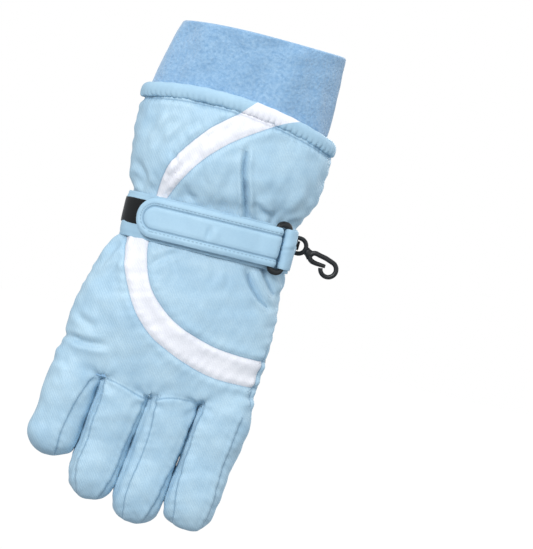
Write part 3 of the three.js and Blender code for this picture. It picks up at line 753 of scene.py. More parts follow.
class Nodes:
    def __init__(self, name):
        self.material = bpy.data.materials.new(name)
        self.material.use_nodes = True
        self.tree = self.material.node_tree
        self.tree.nodes.clear()
        self.out = self.tree.nodes.new("ShaderNodeOutputMaterial")
        self.shader = self.tree.nodes.new("ShaderNodeBsdfPrincipled")
        self.tree.links.new(self.shader.outputs[0], self.out.inputs[0])
        coords = self.tree.nodes.new("ShaderNodeTexCoord")
        self.place = coords.outputs["Object"]

    def set(self, socket, value):
        if isinstance(value, bpy.types.NodeSocket):
            self.tree.links.new(value, socket)
        else:
            socket.default_value = value

    def node(self, kind, **inputs):
        made = self.tree.nodes.new(kind)
        for key, value in inputs.items():
            self.set(made.inputs[key], value)
        return made

    def math(self, operation, a, b=0.0, c=0.0):
        made = self.tree.nodes.new("ShaderNodeMath")
        made.operation = operation
        for socket, value in zip(made.inputs, (a, b, c)):
            self.set(socket, value)
        return made.outputs[0]

    def noise(self, scale, detail=3.0, rough=0.55, vector=None):
        vector = vector or self.place
        look = dict(Scale=scale, Detail=detail, Roughness=rough)
        return self.node("ShaderNodeTexNoise", Vector=vector, **look).outputs[0]

    def attribute(self, name):
        made = self.tree.nodes.new("ShaderNodeAttribute")
        made.attribute_name = name
        return made.outputs["Fac"]

    def remap(self, value, a, b, c, d):
        made = self.tree.nodes.new("ShaderNodeMapRange")
        for socket, v in zip(made.inputs, (value, a, b, c, d)):
            self.set(socket, v)
        return made.outputs[0]

    def mix(self, share, a, b):
        made = self.tree.nodes.new("ShaderNodeMix")
        made.data_type = "RGBA"
        self.set(made.inputs[0], share)
        self.set(made.inputs[6], a)
        self.set(made.inputs[7], b)
        return made.outputs[2]

    def bump(self, height, strength, distance, under=None):
        made = self.node("ShaderNodeBump", Height=height, Strength=strength, Distance=distance)
        if under is not None:
            self.set(made.inputs["Normal"], under)
        return made.outputs[0]

    def wave(self, axis, pitch):
        """A smooth up-and-down along one axis, with the given pitch in metres."""
        parts = self.node("ShaderNodeSeparateXYZ", Vector=self.place).outputs
        return self.math("SINE", self.math("MULTIPLY", parts[axis], 2 * math.pi / pitch))


RIB_PITCH = 0.00145  # m, between the twill's diagonal ribs
STITCH_PITCH = 2.6
BESIDE = 1.5  # from a seam to the stitch row next to it


def cloth(name, color, dark, weave=0.0007, sheen=0.25, rough=0.78, seams=True, twill=0, line=0.45, stitch=0):
    """Close-woven face cloth: a fine weave, faint mottling, sheen, and stitches beside its seams. Its seam
    lines are darkened, and the same darkening paints shade along deep creases and under the hem.
    """
    m = Nodes(name)
    blotch = m.noise(55.0, 3.0)
    base = m.mix(m.remap(blotch, 0.3, 0.7, 0.0, 0.3), color, dark)
    fine = m.noise(900.0, 2.0)
    base = m.mix(m.remap(fine, 0.35, 0.65, 0.0, 0.12), base, dark)
    warp = m.math("MULTIPLY", m.wave(0, weave), m.wave(2, weave))
    height = m.math("ADD", m.math("MULTIPLY", warp, 0.35), m.math("MULTIPLY", fine, 0.6))
    if twill:
        # diagonal ribs, a little broken up
        parts = m.node("ShaderNodeSeparateXYZ", Vector=m.place).outputs
        slant = m.math("ADD", m.math("MULTIPLY", parts[0], 0.8), m.math("MULTIPLY", parts[2], 0.6))
        slant = m.math("ADD", slant, m.math("MULTIPLY", m.noise(160.0, 2.0), 0.0011))
        rib = m.math("SINE", m.math("MULTIPLY", slant, 2 * math.pi / RIB_PITCH))
        base = m.mix(m.remap(rib, -0.6, 1.0, 0.0, twill), base, dark)
        height = m.math("SUBTRACT", height, m.math("MULTIPLY", rib, 0.5))
    normal = m.bump(height, 0.4, 0.00016)
    if seams:
        # darken the cloth along each line in the seam attribute: real seams, plus painted shade along deep
        # creases and just under the hem
        s = m.math("ABSOLUTE", m.attribute("seam"))
        near = m.attribute("near")
        cut = m.math("MULTIPLY", near, m.remap(s, 0.2, 0.75, 1.0, 0.0))
        deep = m.mix(0.5, dark, (0.04, 0.09, 0.16, 1))
        base = m.mix(m.math("MULTIPLY", cut, line), base, deep)
        sunk = cut
        if stitch:
            off_row = m.math("ABSOLUTE", m.math("ADD", m.attribute("seam"), BESIDE))
            row = m.remap(off_row, 0.15, 0.5, 1.0, 0.0)
            along = m.math("MULTIPLY", m.attribute("run"), 2 * math.pi / STITCH_PITCH)
            dash = m.remap(m.math("SINE", along), -0.5, 0.2, 0.0, 1.0)
            dots = m.math("MULTIPLY", row, dash)
            base = m.mix(m.math("MULTIPLY", dots, stitch), base, deep)
            sunk = m.math("ADD", m.math("ADD", row, cut), m.math("MULTIPLY", dots, 0.6))
        normal = m.bump(m.math("MULTIPLY", sunk, -0.5), 0.7, 0.0004, normal)
    m.set(m.shader.inputs["Base Color"], base)
    m.set(m.shader.inputs["Roughness"], rough)
    m.set(m.shader.inputs["Normal"], normal)
    m.set(m.shader.inputs["Sheen Weight"], sheen)
    m.set(m.shader.inputs["Sheen Roughness"], 0.4)
    m.set(m.shader.inputs["Specular IOR Level"], 0.35)
    return m.material


SHELL_BLUES = srgb(190, 216, 230), srgb(124, 171, 206)
WHITES = srgb(245, 243, 247), srgb(218, 219, 230)
TWILL_BLACKS = srgb(46, 46, 49), srgb(24, 24, 26)
TAPE_BLACKS = srgb(22, 23, 24), srgb(9, 10, 11)
BINDING_BLUES = srgb(172, 203, 222), srgb(140, 178, 205)
STRAP_BLUES = srgb(176, 207, 226), srgb(142, 180, 207)
LINING_BLUES = srgb(150, 186, 216), srgb(116, 154, 190)
FIBRE_WHITES = srgb(240, 240, 236), srgb(214, 214, 208)
ELASTIC_WHITES = srgb(232, 232, 228), srgb(200, 200, 196)
SHELL = cloth("shell_cloth", *SHELL_BLUES, rough=0.5, sheen=0.12, twill=0.17)
STRIP = cloth("strip_cloth", *WHITES, rough=0.6, twill=0.15, line=0.3)
BLACK = cloth("palm_twill", *TWILL_BLACKS, weave=0.0016, sheen=0.15, rough=0.6, seams=False)
TAPE = cloth("loop_cloth", *TAPE_BLACKS, weave=0.0011, sheen=0.4, rough=0.95, seams=False)
BINDING = cloth("binding_cloth", *BINDING_BLUES, rough=0.55, sheen=0.15, seams=False)
STRAP = cloth("strap_cloth", *STRAP_BLUES, rough=0.55, sheen=0.15, line=0.5, stitch=0.42)
LINING = cloth("lining_cloth", *LINING_BLUES, weave=0.0012, sheen=0.5, rough=0.95, seams=False)
WADDING = cloth("wadding_fibre", *FIBRE_WHITES, weave=0.003, sheen=0.5, rough=1.0, seams=False)
ELASTIC = cloth("elastic_web", *ELASTIC_WHITES, weave=0.0015, rough=0.8, seams=False)


def fleece_material():
    m = Nodes("fleece_pile")
    tufts = m.noise(420.0, 4.0, 0.7)
    broad = m.noise(60.0, 3.0)
    pile = m.node("ShaderNodeTexVoronoi", Vector=m.place, Scale=520.0).outputs[0]
    base = m.mix(m.remap(tufts, 0.3, 0.7, 0.0, 1.0), srgb(120, 159, 196), srgb(159, 191, 218))
    base = m.mix(m.remap(broad, 0.3, 0.7, 0.0, 0.3), base, srgb(132, 171, 207))
    height = m.math("ADD", m.math("MULTIPLY", tufts, 0.8), m.math("MULTIPLY", pile, 0.5))
    m.set(m.shader.inputs["Base Color"], base)
    m.set(m.shader.inputs["Roughness"], 1.0)
    m.set(m.shader.inputs["Normal"], m.bump(height, 0.9, 0.0008))
    m.set(m.shader.inputs["Sheen Weight"], 0.7)
    m.set(m.shader.inputs["Sheen Roughness"], 0.5)
    m.set(m.shader.inputs["Specular IOR Level"], 0.1)
    return m.material


def plastic_material():
    m = Nodes("moulded_plastic")
    grain = m.noise(1500.0, 2.0)
    wear = m.noise(120.0, 4.0, 0.7)
    worn = m.mix(m.remap(wear, 0.4, 0.7, 0.0, 0.6), srgb(15, 15, 17), srgb(26, 27, 29))
    m.set(m.shader.inputs["Base Color"], worn)
    m.set(m.shader.inputs["Roughness"], m.remap(wear, 0.3, 0.7, 0.34, 0.5))
    m.set(m.shader.inputs["Normal"], m.bump(grain, 0.12, 0.0001))
    return m.material


FLEECE = fleece_material()
PLASTIC = plastic_material()

# ---- Skin pieces ---------------------------------------------------------------------------

whole = shape_skin()



def places(part):
    """x, y and depth of the part's points."""
    x, y, z = part.points.T
    return x, y, -z


def dress(name, part, material, *replaced, fill=0.75):
    obj = add_skin(name, part, material)
    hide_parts(*replaced)
    return obj


def hem_drop(px):
    return HEM["tilt"] * px + HEM["arch"] * px * px


HAND_CUT = 230.0  # depth where the fingers' skins start
WRIST_CUT = 126.0  # depth where the cuff's skin ends and the hand's starts
HEM_CUT = 47.4  # depth where the cuff's skin ends under the hem
# the thumb comes off first, then the fingers, the hand and the cuff
thumb_part, rest = whole.cut(whole.numbers["thumb"])
body_part, fingers_part = rest.cut(rest.numbers["base_depth"] - HAND_CUT)
cuff_part, hand_part = body_part.cut(-body_part.points[:, 2] - WRIST_CUT)
cuff_part = cuff_part.cut(-cuff_part.points[:, 2] - HEM_CUT - hem_drop(cuff_part.points[:, 0]))[1]

# How far along each digit its root's skin ends and its end's skin starts.
THUMB_CUT, FINGER_CUT = 20.0, {"little": 13.0, "ring": 18.0, "middle": 20.0, "index": 19.0}


# fingers
left_over = fingers_part
for i, name in enumerate(FINGER_NAMES):
    if i < 3:
        mine, left_over = left_over.cut(left_over.numbers[f"gap{i}"])
    else:
        mine = left_over
    root, end = mine.cut(mine.numbers["finger_along"] - FINGER_CUT[name])
    near = dress(f"{name}_root_skin", root, SHELL, f"{name}_base_shell", f"{name}_base_wadding")
    far = dress(f"{name}_end_skin", end, SHELL, f"{name}_tip_shell", f"{name}_tip_wadding")
    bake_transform(near)
    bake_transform(far)

# thumb
root, end = thumb_part.cut(thumb_part.numbers["thumb_along"] - THUMB_CUT)
near = dress("thumb_root_skin", root, SHELL, "thumb_base_shell", "thumb_base_wadding")
far = dress("thumb_end_skin", end, SHELL, "thumb_tip_shell", "thumb_tip_wadding")
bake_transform(near)
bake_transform(far)

# hand panels
back_part, palm_part = hand_part.cut(hand_part.numbers["side"])
above, outer = back_part.cut(back_part.numbers["low"])
strip, inner = above.cut(-above.numbers["high"])
for name, part, material, *node in (
    ("hand_back_outer", outer, SHELL, "hand_back_outer_panel"),
    ("hand_back_inner", inner, SHELL, "hand_back_inner_panel"),
    ("hand_white_strip", strip, STRIP, "hand_strip"),
    ("palm_cloth", palm_part, SHELL, "palm_panel", "hand_wadding"),
):
    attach(dress(name, part, material, *node), "hand")

# cuff panels
back_part, palm_part = cuff_part.cut(cuff_part.numbers["side"])
inner_side, left_part = back_part.cut(back_part.numbers["left"])
strip, inner = inner_side.cut(-inner_side.numbers["right"])
for name, part, material, *node in (
    ("cuff_back_outer", left_part, SHELL, "cuff_back_outer_panel"),
    ("cuff_back_inner", inner, SHELL, "cuff_back_inner_panel"),
    ("cuff_white_strip", strip, STRIP, "cuff_strip"),
    ("cuff_palm_side", palm_part, SHELL, "cuff_palm_panel", "cuff_wadding"),
):
    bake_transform(dress(name, part, material, *node))


# ---- Palm patch ----------------------------------------------------------------------------


def patch_inside(px, pd):
    top = np.interp(px, [-90, -72, -10, -4, 2, 70], [172, 170, 163.5, 163.2, 193, 193])
    bottom = np.interp(px, [-90, -76, 52, 70], [227, 227, 219, 218])
    return np.minimum(pd - top, bottom - pd)


def thick_skin(part, lift, sink):
    """The part lifted off, with its edge turned down to the surface it lies on."""
    p, n, f = part.points, part.normals, part.faces
    edges = np.vstack([f[:, [0, 1]], f[:, [1, 2]], f[:, [2, 0]]])
    _, index, count = np.unique(np.sort(edges, 1), axis=0, return_index=True, return_counts=True)
    directed = edges[index[count == 1]]
    size = len(p)
    all_points = np.vstack([p + n * lift, p - n * sink])
    a, b = directed.T
    walls = np.vstack([np.stack([a, a + size, b + size], 1), np.stack([a, b + size, b], 1)])
    numbers = {k: np.tile(v, 2) for k, v in part.numbers.items()}
    return Skin(all_points, np.vstack([f, walls]), np.vstack([n, n]), numbers).compact()


_, palm_side = hand_part.cut(hand_part.points[:, 1] - 4.5)
px, _, pd = places(palm_side)
_, patch = palm_side.cut(patch_inside(px, pd))
patch = thick_skin(patch, 0.75, 0.3)
patch_obj = add("palm_reinforcement", patch.points, patch.faces, BLACK, None, None)
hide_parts("palm_patch")
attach(patch_obj, "hand")

# ---- Fleece cuff ---------------------------------------------------------------------------

# Down the fleece: depth, centre x, half-width, half-depth.
FLEECE_DOWN = np.array(
    [
        (-2, 4.6, 52.2, 26.2),
        (0, 4.4, 52.6, 26.4),
        (24, 1.4, 56.0, 27.4),
        (44, -0.4, 58.0, 27.8),
        (58, 0.0, 57.6, 26.8),
        (70, 0.4, 57.2, 27.4),
        (90, 0.0, 55.2, 26.6),
        (102, -1.0, 51.4, 22.8),
        (110, -1.4, 48.6, 18.6),
        (118, -1.5, 47.4, 16.6),
    ]
)


def fleece_tube():
    cols = 220
    angle = np.linspace(0, 2 * math.pi, cols, endpoint=False)
    wall = 3.0
    # outside going up, over the rounded rim, and down the inside
    path = [(d, 0.0) for d in np.linspace(62, 1.6, 56)]
    turn = np.linspace(0.15, math.pi - 0.15, 9)
    path += [(1.6 - 1.6 * math.sin(a), wall / 2 - wall / 2 * math.cos(a)) for a in turn]
    path += [(d, wall) for d in np.linspace(1.6, 117, 70)]
    rings = []
    for d, inset in path:
        cx, wide, deep = (np.interp(d, FLEECE_DOWN[:, 0], FLEECE_DOWN[:, k]) for k in (1, 2, 3))
        c, s = np.cos(angle), np.sin(angle)
        px, py = cx + (wide - inset) * c, (deep - inset) * s
        pz = np.full(cols, -d)
        sag = 0.9 * soft(px, py * 1.5, pz * 0.5) + 0.35 * crumple(px, py, pz * 0.7)
        sag *= ramp(np.array(d), -2, 8) * (1 if inset < wall else 0.6)
        px, py = px + sag * c * 0.6, py + sag * s
        pz = pz + 0.35 * np.sin(angle * 3 + 1) * (d < 8)
        rings.append(np.stack([px, py, pz], 1))
    rings = np.array(rings)
    return rings.reshape(-1, 3), tube(rings)


p, f = fleece_tube()
fleece = add("fleece_inner_cuff", p, f[:, ::-1], FLEECE)
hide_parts("fleece_cuff")
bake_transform(fleece)

# ---- Rolled hem ----------------------------------------------------------------------------


HEM_NIPS, NIP_PITCH = 81, 3.8


def hem_ring():
    cols, around = 620, 26
    angle = np.linspace(0, 2 * math.pi, cols, endpoint=False)
    c, s = np.cos(angle), np.sin(angle)
    rings = []
    steps = np.hypot(HEM["wide"] * s, HEM["deep"] * c) * 2 * math.pi / cols
    arc = np.cumsum(steps)
    arc *= HEM_NIPS * NIP_PITCH / arc[-1]
    for t in np.linspace(0, 2 * math.pi, around, endpoint=False):
        out = HEM["thick"] * np.sign(math.cos(t)) * abs(math.cos(t)) ** 0.7
        up = HEM["half"] * math.sin(t)
        px = (HEM["wide"] - HEM["thick"] + out) * c
        py = (HEM["deep"] - HEM["thick"] + out) * s
        low = float(ramp(np.array(-math.sin(t)), 0.0, 0.9))
        nip = np.abs(np.sin(math.pi * arc / NIP_PITCH)) ** 0.6 - 0.7
        pucker = nip * (0.12 + 1.25 * low**1.5) + 0.12 * np.sin(arc * 2 * math.pi / 19.0 + 2)
        px, py = px + pucker * c, py + pucker * s
        sway = 0.12 * np.sin(arc * 2 * math.pi / 11.4) * (1 + low)
        pz = -(HEM["depth"] + hem_drop(px)) + up + sway
        rings.append(np.stack([px, py, pz], 1))
    return np.array(rings)


hem = hem_ring()
rows, cols = hem.shape[:2]
a = np.arange(rows * cols).reshape(rows, cols)
b, d = np.roll(a, -1, 1), np.roll(a, -1, 0)
c = np.roll(d, -1, 1)
quads = np.stack([a.ravel(), b.ravel(), c.ravel(), d.ravel()], 1)[:, ::-1]
hem_points = hem.reshape(-1, 3)
tris = np.vstack([quads[:, [0, 1, 2]], quads[:, [0, 2, 3]]])
hem_skin = Skin(hem_points, tris, point_normals(hem_points, tris))
hx, hy, hd = places(hem_skin)
left, _ = line_distance(CUFF_STRIP_LEFT, hx, hd)
right, _ = line_distance(CUFF_STRIP_RIGHT, hx, hd)
white = np.minimum(np.minimum(-left, right), -hy)
hem_skin.numbers = {"near": np.zeros(len(hx))}
blue, strip = hem_skin.cut(white)
for name, part, material, node in (
    ("rolled_hem", blue, BINDING, "cuff_hem"),
    ("hem_white_strip", strip, STRIP, "hem_strip"),
):
    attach(dress(name, part, material, node, fill=0.6), "cuff")

# ---- Wrist band, tapes, strap ----------------------------------------------------------------

WRIST_X, WRIST_WIDE, WRIST_DEEP = -1.5, 53.0, 22.0


def wrist_path(offset, start, stop, count):
    """Points round the wrist from one angle to another (degrees from +X), offset mm outside it."""
    t = np.radians(np.linspace(start, stop, count))
    base = np.stack([WRIST_X + WRIST_WIDE * np.cos(t), WRIST_DEEP * np.sin(t)], 1)
    n = np.stack([np.cos(t) / WRIST_WIDE, np.sin(t) / WRIST_DEEP], 1)
    n /= np.linalg.norm(n, axis=1)[:, None]
    return base + n * offset


def ribbon(name, path, size, z, material, round_start=False, columns=25, relief=None, numbers=None, flip=1):
    """A flat strip that follows a path seen from above, with rounded edges and, if asked, a round end."""
    high, thick = size
    path = np.array(path)
    steps = np.linalg.norm(np.diff(path, axis=0), axis=1)
    run = np.concatenate([[0], np.cumsum(steps)])
    tangent = np.gradient(path, run, axis=0)
    tangent /= np.linalg.norm(tangent, axis=1)[:, None]
    normal = np.stack([tangent[:, 1], -tangent[:, 0]], 1) * flip
    half = np.full(len(path), high / 2)
    if round_start:
        r = high / 2
        near = run < r
        half[near] = np.sqrt(np.maximum(r**2 - (r - run[near]) ** 2, 0.05))
    v = np.sin(np.linspace(-1, 1, columns) * math.pi / 2)
    body = (1 - np.abs(v) ** 6) ** 0.5
    outer, inner, marks = [], [], []
    for k in range(len(path)):
        end = min(run[k], run[-1] - run[k]) / (0.9 * thick)
        blunt = math.sqrt(min(1.0, end + 0.05)) if end < 1 else 1.0
        t = thick / 2 * body * blunt
        vz = v * half[k]
        lift = relief(run[k], vz, half[k]) * body if relief else 0
        pz = z + vz
        marks.append(numbers(run[k], vz) if numbers else (vz, vz))
        for store, off in ((outer, t + lift), (inner, -t + (lift * 0.6 if relief else 0))):
            p = path[k][None, :] + normal[k][None, :] * np.asarray(off)[:, None]
            store.append(np.stack([p[:, 0], p[:, 1], pz], 1))
    outer, inner = np.array(outer), np.array(inner)[:, ::-1]
    loops = np.concatenate([outer, inner[:, 1:-1]], 1)
    faces = tube(loops)
    cols = loops.shape[1]
    rows = loops.shape[0]
    ends = [tuple(range(cols))[::-1], tuple(range((rows - 1) * cols, rows * cols))]
    faces = [tuple(q) for q in faces] + ends
    kept = None
    if numbers:
        marks = np.array(marks)
        marks = np.concatenate([marks, marks[:, :, ::-1][:, :, 1:-1]], 2)
        kept = {"seam": marks[:, 0].ravel(), "run": marks[:, 1].ravel()}
        kept["near"] = np.ones(marks[:, 0].size)
    obj = add(name, loops.reshape(-1, 3), faces, material, numbers=kept)
    return recalc(obj)


def recalc(obj):
    """Joins doubled points and turns every face outwards."""
    bm = bmesh.new()
    bm.from_mesh(obj.data)
    bmesh.ops.remove_doubles(bm, verts=bm.verts, dist=1e-7)
    bmesh.ops.recalc_face_normals(bm, faces=bm.faces)
    bm.to_mesh(obj.data)
    bm.free()
    return obj


def band_relief(s, v, half):
    wave = 0.22 * np.sin(s / 2.1 + 0.12 * v) + 0.2 * np.sin(s / 5.3 + 1)
    return 0.3 + wave * 0.8 - 0.5 * np.exp(-(((np.abs(v) - half + 2.2) / 0.5) ** 2))


band_path = wrist_path(1.7, 186, 352, 150)
band = ribbon("wrist_band_cloth", band_path, (28.5, 1.4), -126.6, BINDING, relief=band_relief)
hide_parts("wrist_band")
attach(band, "hand")

loops = ribbon("loop_tape_black", wrist_path(2.7, 183, 284, 90), (16.0, 1.0), -124.4, TAPE)
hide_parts("loop_tape")
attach(loops, "hand")

hooks = ribbon("hook_tape_black", wrist_path(3.9, 226, 268, 50), (17.0, 0.9), -125.6, TAPE)
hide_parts("strap_hook_tape")
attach(hooks, "strap")

RING_X, RING_Y, RING_TURN = 44.25, -17.25, math.radians(30.3)
BAR = 4.9


def ring_bar(side):
    return np.array([RING_X + side * BAR * math.cos(RING_TURN), RING_Y + side * BAR * math.sin(RING_TURN)])


def round_bar(bar, radius, start, stop, count):
    a = np.radians(np.linspace(start, stop, count))
    return bar + radius * np.stack([np.cos(a), np.sin(a)], 1)


def softened(path, times):
    for _ in range(times):
        path[1:-1] = path[1:-1] * 0.5 + (path[:-2] + path[2:]) * 0.25
    return path


def rising_path(low, rise, rise_from, rise_to, start, stop, count):
    """Along the wrist from one angle to another, low mm outside it and then rise mm further out."""
    angles = np.linspace(start, stop, count)
    offsets = [low + rise * ramp(np.array(a), rise_from, rise_to) for a in angles]
    return np.array([wrist_path(offset, a, a, 1)[0] for offset, a in zip(offsets, angles)])


def strap_path():
    """From the free end, along the wrist, over the ring's bar, round it and a little way back."""
    outer = rising_path(5.8, 2.1, 303, 316, 216, 316, 165)
    path = np.vstack([outer, round_bar(ring_bar(-1), 3.0, -62, 140, 16)])
    return softened(path, 4)


def strap_edge(s, v):
    """Distance in from the strap's edge, round its free end too."""
    return 12.6 - (np.hypot(v, 12.6 - s) if s < 12.6 else np.abs(v))


def strap_relief(s, v, _half):
    edge = strap_edge(s, v)
    bead = 0.5 * np.exp(-(((edge - 2.2) / 1.6) ** 2))
    line = -0.75 * np.exp(-(((edge - 5.2) / 0.55) ** 2))
    middle = 0.5 * np.clip((edge - 5.4) / 2.5, 0, 1)
    across = np.clip((v + 9) / 6, 0, 1) * np.clip((4 - v) / 4, 0, 1)
    dent = -1.0 * math.exp(-(((s - 48) / 1.6) ** 2)) * across
    lift = 0.6 * math.exp(-(((s - 52.5) / 2.6) ** 2)) * across
    waves = 0.13 * np.sin(s / 3.1 + 0.2 * v) + 0.16 * np.sin(s / 8 + 1 + 0.1 * v)
    return (bead + line + middle + dent + lift + waves) * (s < 104)


def strap_numbers(s, v):
    edge = strap_edge(s, v) if s < 108 else np.full(np.shape(v), 9.0)
    return edge - 5.2, s + (np.arctan2(v, 12.6 - s) * 12.6 if s < 12.6 else 0 * v)


strap_look = dict(round_start=True, columns=81, relief=strap_relief, numbers=strap_numbers)
strap = ribbon("wrist_strap", strap_path(), (25.2, 2.3), -126.2, STRAP, **strap_look)
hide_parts("strap_tab")
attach(strap, "strap")


def keeper_path():
    """From the side seam, over the ring's other bar, round it and back underneath."""
    outer = rising_path(2.2, 6.0, 350, 333, 356, 333, 26)
    return softened(np.vstack([outer, round_bar(ring_bar(1), 3.1, -57, -235, 18)]), 3)


def keeper_relief(s, v, _half):
    wrinkles = 0.28 * np.sin(v / 1.9 + s / 2.5) * np.exp(-(((v - 2) / 7) ** 2))
    wrinkles = wrinkles + 0.22 * np.sin(v / 3.7 + 1.0)
    return wrinkles - 0.5 * np.exp(-(((v - 4.5 + 0.25 * s) / 0.9) ** 2))


keeper_look = dict(columns=41, relief=keeper_relief, flip=-1)
keeper = ribbon("ring_keeper_fold", keeper_path(), (25.4, 1.7), -126.0, BINDING, **keeper_look)
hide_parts("ring_keeper")
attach(keeper, "hand")


def rod(path, wide, thick, axes, closed=True, n=12, bulge=2.4):
    """A bar of oval section along a flat path. axes gives the plane's two directions and its normal."""
    u, v, w = (np.array(a, float) for a in axes)
    path = np.array(path, float)
    rows = len(path)
    if closed:
        tangent = np.roll(path, -1, 0) - np.roll(path, 1, 0)
    else:
        tangent = np.gradient(path, axis=0)
    tangent /= np.linalg.norm(tangent, axis=1)[:, None]
    side = np.stack([tangent[:, 1], -tangent[:, 0]], 1)
    a = np.linspace(0, 2 * math.pi, n, endpoint=False)
    ca = np.sign(np.cos(a)) * np.abs(np.cos(a)) ** (2 / bulge)
    sa = np.sign(np.sin(a)) * np.abs(np.sin(a)) ** (2 / bulge)
    wide = np.broadcast_to(np.asarray(wide, float), (rows,))
    rings = []
    for k in range(rows):
        flat = path[k][None, :] + side[k][None, :] * (wide[k] / 2 * ca)[:, None]
        rings.append(flat[:, :1] * u + flat[:, 1:] * v + (thick / 2 * sa)[:, None] * w)
    rings = np.array(rings)
    faces = [tuple(q) for q in tube(rings)]
    if closed:
        index = np.arange(rows * n).reshape(rows, n)
        for j in range(n):
            k = (j + 1) % n
            faces.append((index[-1][j], index[-1][k], index[0][k], index[0][j]))
    else:
        faces += [tuple(range(n))[::-1], tuple(range((rows - 1) * n, rows * n))]
    return rings.reshape(-1, 3), faces


def joined(name, parts, material, place=None):
    """One object from several closed forms, moved to its place."""
    all_points, all_faces, base = [], [], 0
    for p, f in parts:
        all_points.append(p)
        all_faces += [tuple(int(i) + base for i in q) for q in f]
        base += len(p)
    p = np.vstack(all_points)
    if place is not None:
        m = np.array(place)
        p = p @ m[:3, :3].T + m[:3, 3]
    obj = add(name, p, all_faces, material)
    recalc(obj)
    return obj


# Two directions of a flat path and its normal: on XZ, and on XY.
UPRIGHT = ((1, 0, 0), (0, 0, 1), (0, 1, 0))
LEVEL = ((1, 0, 0), (0, 1, 0), (0, 0, 1))


def round_rect(wide, high, r, n=8):
    out = []
    x, y = wide / 2 - r, high / 2 - r
    for cx, cy, a in ((x, y, 0), (-x, y, 90), (-x, -y, 180), (x, -y, 270)):
        for t in np.linspace(0, 90, n):
            out.append((cx + r * math.cos(math.radians(a + t)), cy + r * math.sin(math.radians(a + t))))
    return out


ring_place = Matrix.Translation((RING_X, RING_Y, -126.2)) @ Matrix.Rotation(RING_TURN, 4, "Z")
ring_path = round_rect(9.7, 30.0, 4.2)
ring_wide = [2.6 + 1.5 * ramp(np.array(abs(q[1])), 11.5, 15.0) for q in ring_path]
ring_parts = [rod(ring_path, ring_wide, 3.0, UPRIGHT, n=14)]
buckle = joined("strap_ring", ring_parts, PLASTIC, ring_place)
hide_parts("buckle_ring")
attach(buckle, "ring")

# ---- Snap hook -------------------------------------------------------------------------------

CLIP_AT, CLIP_SLOPE, HOOK_SLOPE = (53.0, 7.0, -121.5), math.radians(2.4), math.radians(24)
clip_place = Matrix.Translation(CLIP_AT) @ Matrix.Rotation(CLIP_SLOPE, 4, "Y")


def arc(cx, cy, rx, ry, a, b, n):
    turns = [math.radians(t) for t in np.linspace(a, b, n)]
    return [(cx + rx * math.cos(t), cy + ry * math.sin(t)) for t in turns]


def on_hook(path):
    """Points of the sloping hook, which starts in the middle of the eye."""
    c, t = math.cos(HOOK_SLOPE), math.sin(HOOK_SLOPE)
    return [(4.2 + x * c + z * t, -x * t + z * c) for x, z in path]


eye = [(0, -4.9), (0, -2.4), (0, 0), (0, 2.4), (0, 4.9)] + arc(2.6, 0, 4.75, 4.85, 92, -92, 26)
eye_wide = [3.4] * 5 + [2.9] * 26
neck = on_hook([(3.9, 0), (5.4, -0.1), (7.0, -0.3), (8.6, -0.5)])
arm = [(11.6, -2.7), (9.9, -2.6), (8.3, -1.4), (8.2, 0.9), (9.8, 2.6), (13, 3.4), (17, 4.4)]
arm += arc(22.4, 0, 5.0, 5.0, 104, -150, 26)
arm = on_hook(rounded_line(arm, 3))
gate = on_hook(rounded_line([(10.9, -2.9), (13.6, -2.3), (16, -1.4), (18, -0.6), (19.8, 0.1)], 4))
hook_parts = [
    rod(eye, eye_wide, 3.0, UPRIGHT),
    rod(neck, [5.6, 5.2, 6.0, 7.2], 3.2, UPRIGHT, closed=False),
    rod(arm, np.linspace(3.3, 2.9, len(arm)), 3.2, UPRIGHT, closed=False),
]
hook = joined("clip_body", hook_parts, PLASTIC, clip_place)
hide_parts("clip_hook")
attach(hook, "clip")
gate_parts = [rod(gate, np.linspace(3.3, 2.4, len(gate)), 2.6, UPRIGHT, closed=False)]
tongue = joined("clip_tongue", gate_parts, PLASTIC, clip_place)
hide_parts("clip_gate")
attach(tongue, "gate")

# the tab that the clip hangs on: a fold of tape through its eye, sewn into the side seam
fold = arc(0, 0, 2.55, 2.55, 170, -170, 22)
tab_path = [(-3.6, 0.5)] + fold + [(-3.6, -0.5)]
tab_parts = [rod(tab_path, 0.8, 5.8, LEVEL, closed=False, n=10, bulge=6)]
tab = joined("clip_tab_fold", tab_parts, TAPE, clip_place)
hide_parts("clip_tab")
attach(tab, "hand")

# ---- CAD nodes that still show ---------------------------------------------------------------

for name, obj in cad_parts.items():
    if name.endswith("_lining"):
        material = LINING
    elif name.endswith("_wadding"):
        material = WADDING
    elif name == "wrist_elastic":
        material = ELASTIC
    else:
        material = SHELL
    obj.data.materials.clear()
    obj.data.materials.append(material)

# ---- Stage, camera and light -----------------------------------------------------------------

floor = bpy.data.meshes.new("floor")
floor.from_pydata([(-6, -6, -0.385), (6, -6, -0.385), (6, 6, -0.385), (-6, 6, -0.385)], [], [(0, 1, 2, 3)])
floor_obj = bpy.data.objects.new("floor", floor)
bpy.context.scene.collection.objects.link(floor_obj)
pale = Nodes("pale_floor")
pale.set(pale.shader.inputs["Base Color"], (0.02, 0.02, 0.02, 1))
pale.set(pale.shader.inputs["Roughness"], 0.9)
pale.set(pale.shader.inputs["Emission Color"], (1, 1, 1, 1))
pale.set(pale.shader.inputs["Emission Strength"], 1.0)
pale.set(pale.shader.inputs["Specular IOR Level"], 0.0)
floor.materials.append(pale.material)
floor_obj.visible_diffuse = False
floor_obj.visible_glossy = False

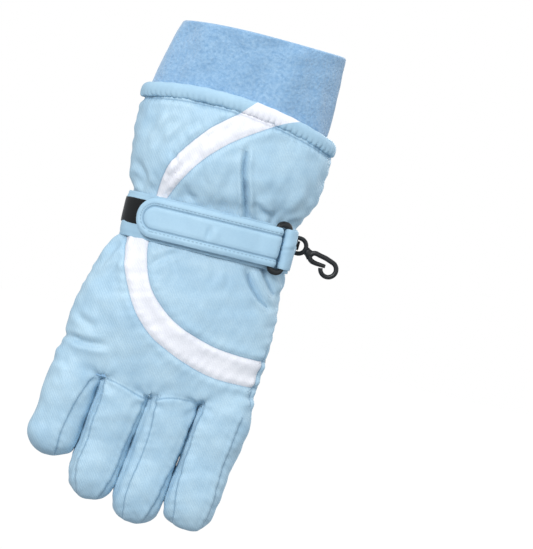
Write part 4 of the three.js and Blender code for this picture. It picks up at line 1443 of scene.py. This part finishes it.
camera_data = bpy.data.cameras.new("camera")
camera = bpy.data.objects.new("camera", camera_data)
bpy.context.scene.collection.objects.link(camera)
bpy.context.scene.camera = camera
camera_data.lens = 156
camera_data.sensor_width = 36
aim = Vector((0.040, 0, -0.144))
camera.location = aim + Vector((0, -1.5, 0))
ROLL = math.radians(-13.55)
level = Euler((math.radians(90), 0, 0)).to_matrix()
camera.rotation_euler = (Matrix.Rotation(ROLL, 3, "Y") @ level).to_euler()


def lamp(name, place, size, power, target=aim, color=(1, 1, 1)):
    data = bpy.data.lights.new(name, "AREA")
    data.size = size
    data.energy = power
    data.color = color
    obj = bpy.data.objects.new(name, data)
    obj.location = place
    obj.rotation_euler = (Vector(place) - target).to_track_quat("Z", "Y").to_euler()
    bpy.context.scene.collection.objects.link(obj)


lamp("key", (-0.6, -1.55, 0.6), 0.5, 22.8)
lamp("behind", (0.5, 1.6, 0.5), 1.0, 11)
lamp("fill", (1.3, -1.2, 0.0), 0.9, 4.6, color=(0.9, 0.96, 1))
lamp("rim", (1.1, 0.5, 0.5), 0.9, 6)
lamp("top", (-0.2, -0.1, 1.4), 0.9, 8)

world = bpy.data.worlds.new("studio")
bpy.context.scene.world = world
world.use_nodes = True
tree = world.node_tree
tree.nodes.clear()
out = tree.nodes.new("ShaderNodeOutputWorld")
seen = tree.nodes.new("ShaderNodeBackground")
seen.inputs[0].default_value = (1, 1, 1, 1)
seen.inputs[1].default_value = 1.0
lighting = tree.nodes.new("ShaderNodeBackground")
lighting.inputs[0].default_value = (0.84, 0.93, 1, 1)
lighting.inputs[1].default_value = 0.47
path = tree.nodes.new("ShaderNodeLightPath")
mix = tree.nodes.new("ShaderNodeMixShader")
tree.links.new(path.outputs["Is Camera Ray"], mix.inputs[0])
tree.links.new(lighting.outputs[0], mix.inputs[1])
tree.links.new(seen.outputs[0], mix.inputs[2])
tree.links.new(mix.outputs[0], out.inputs[0])
bpy.context.scene.view_settings.view_transform = "Standard"

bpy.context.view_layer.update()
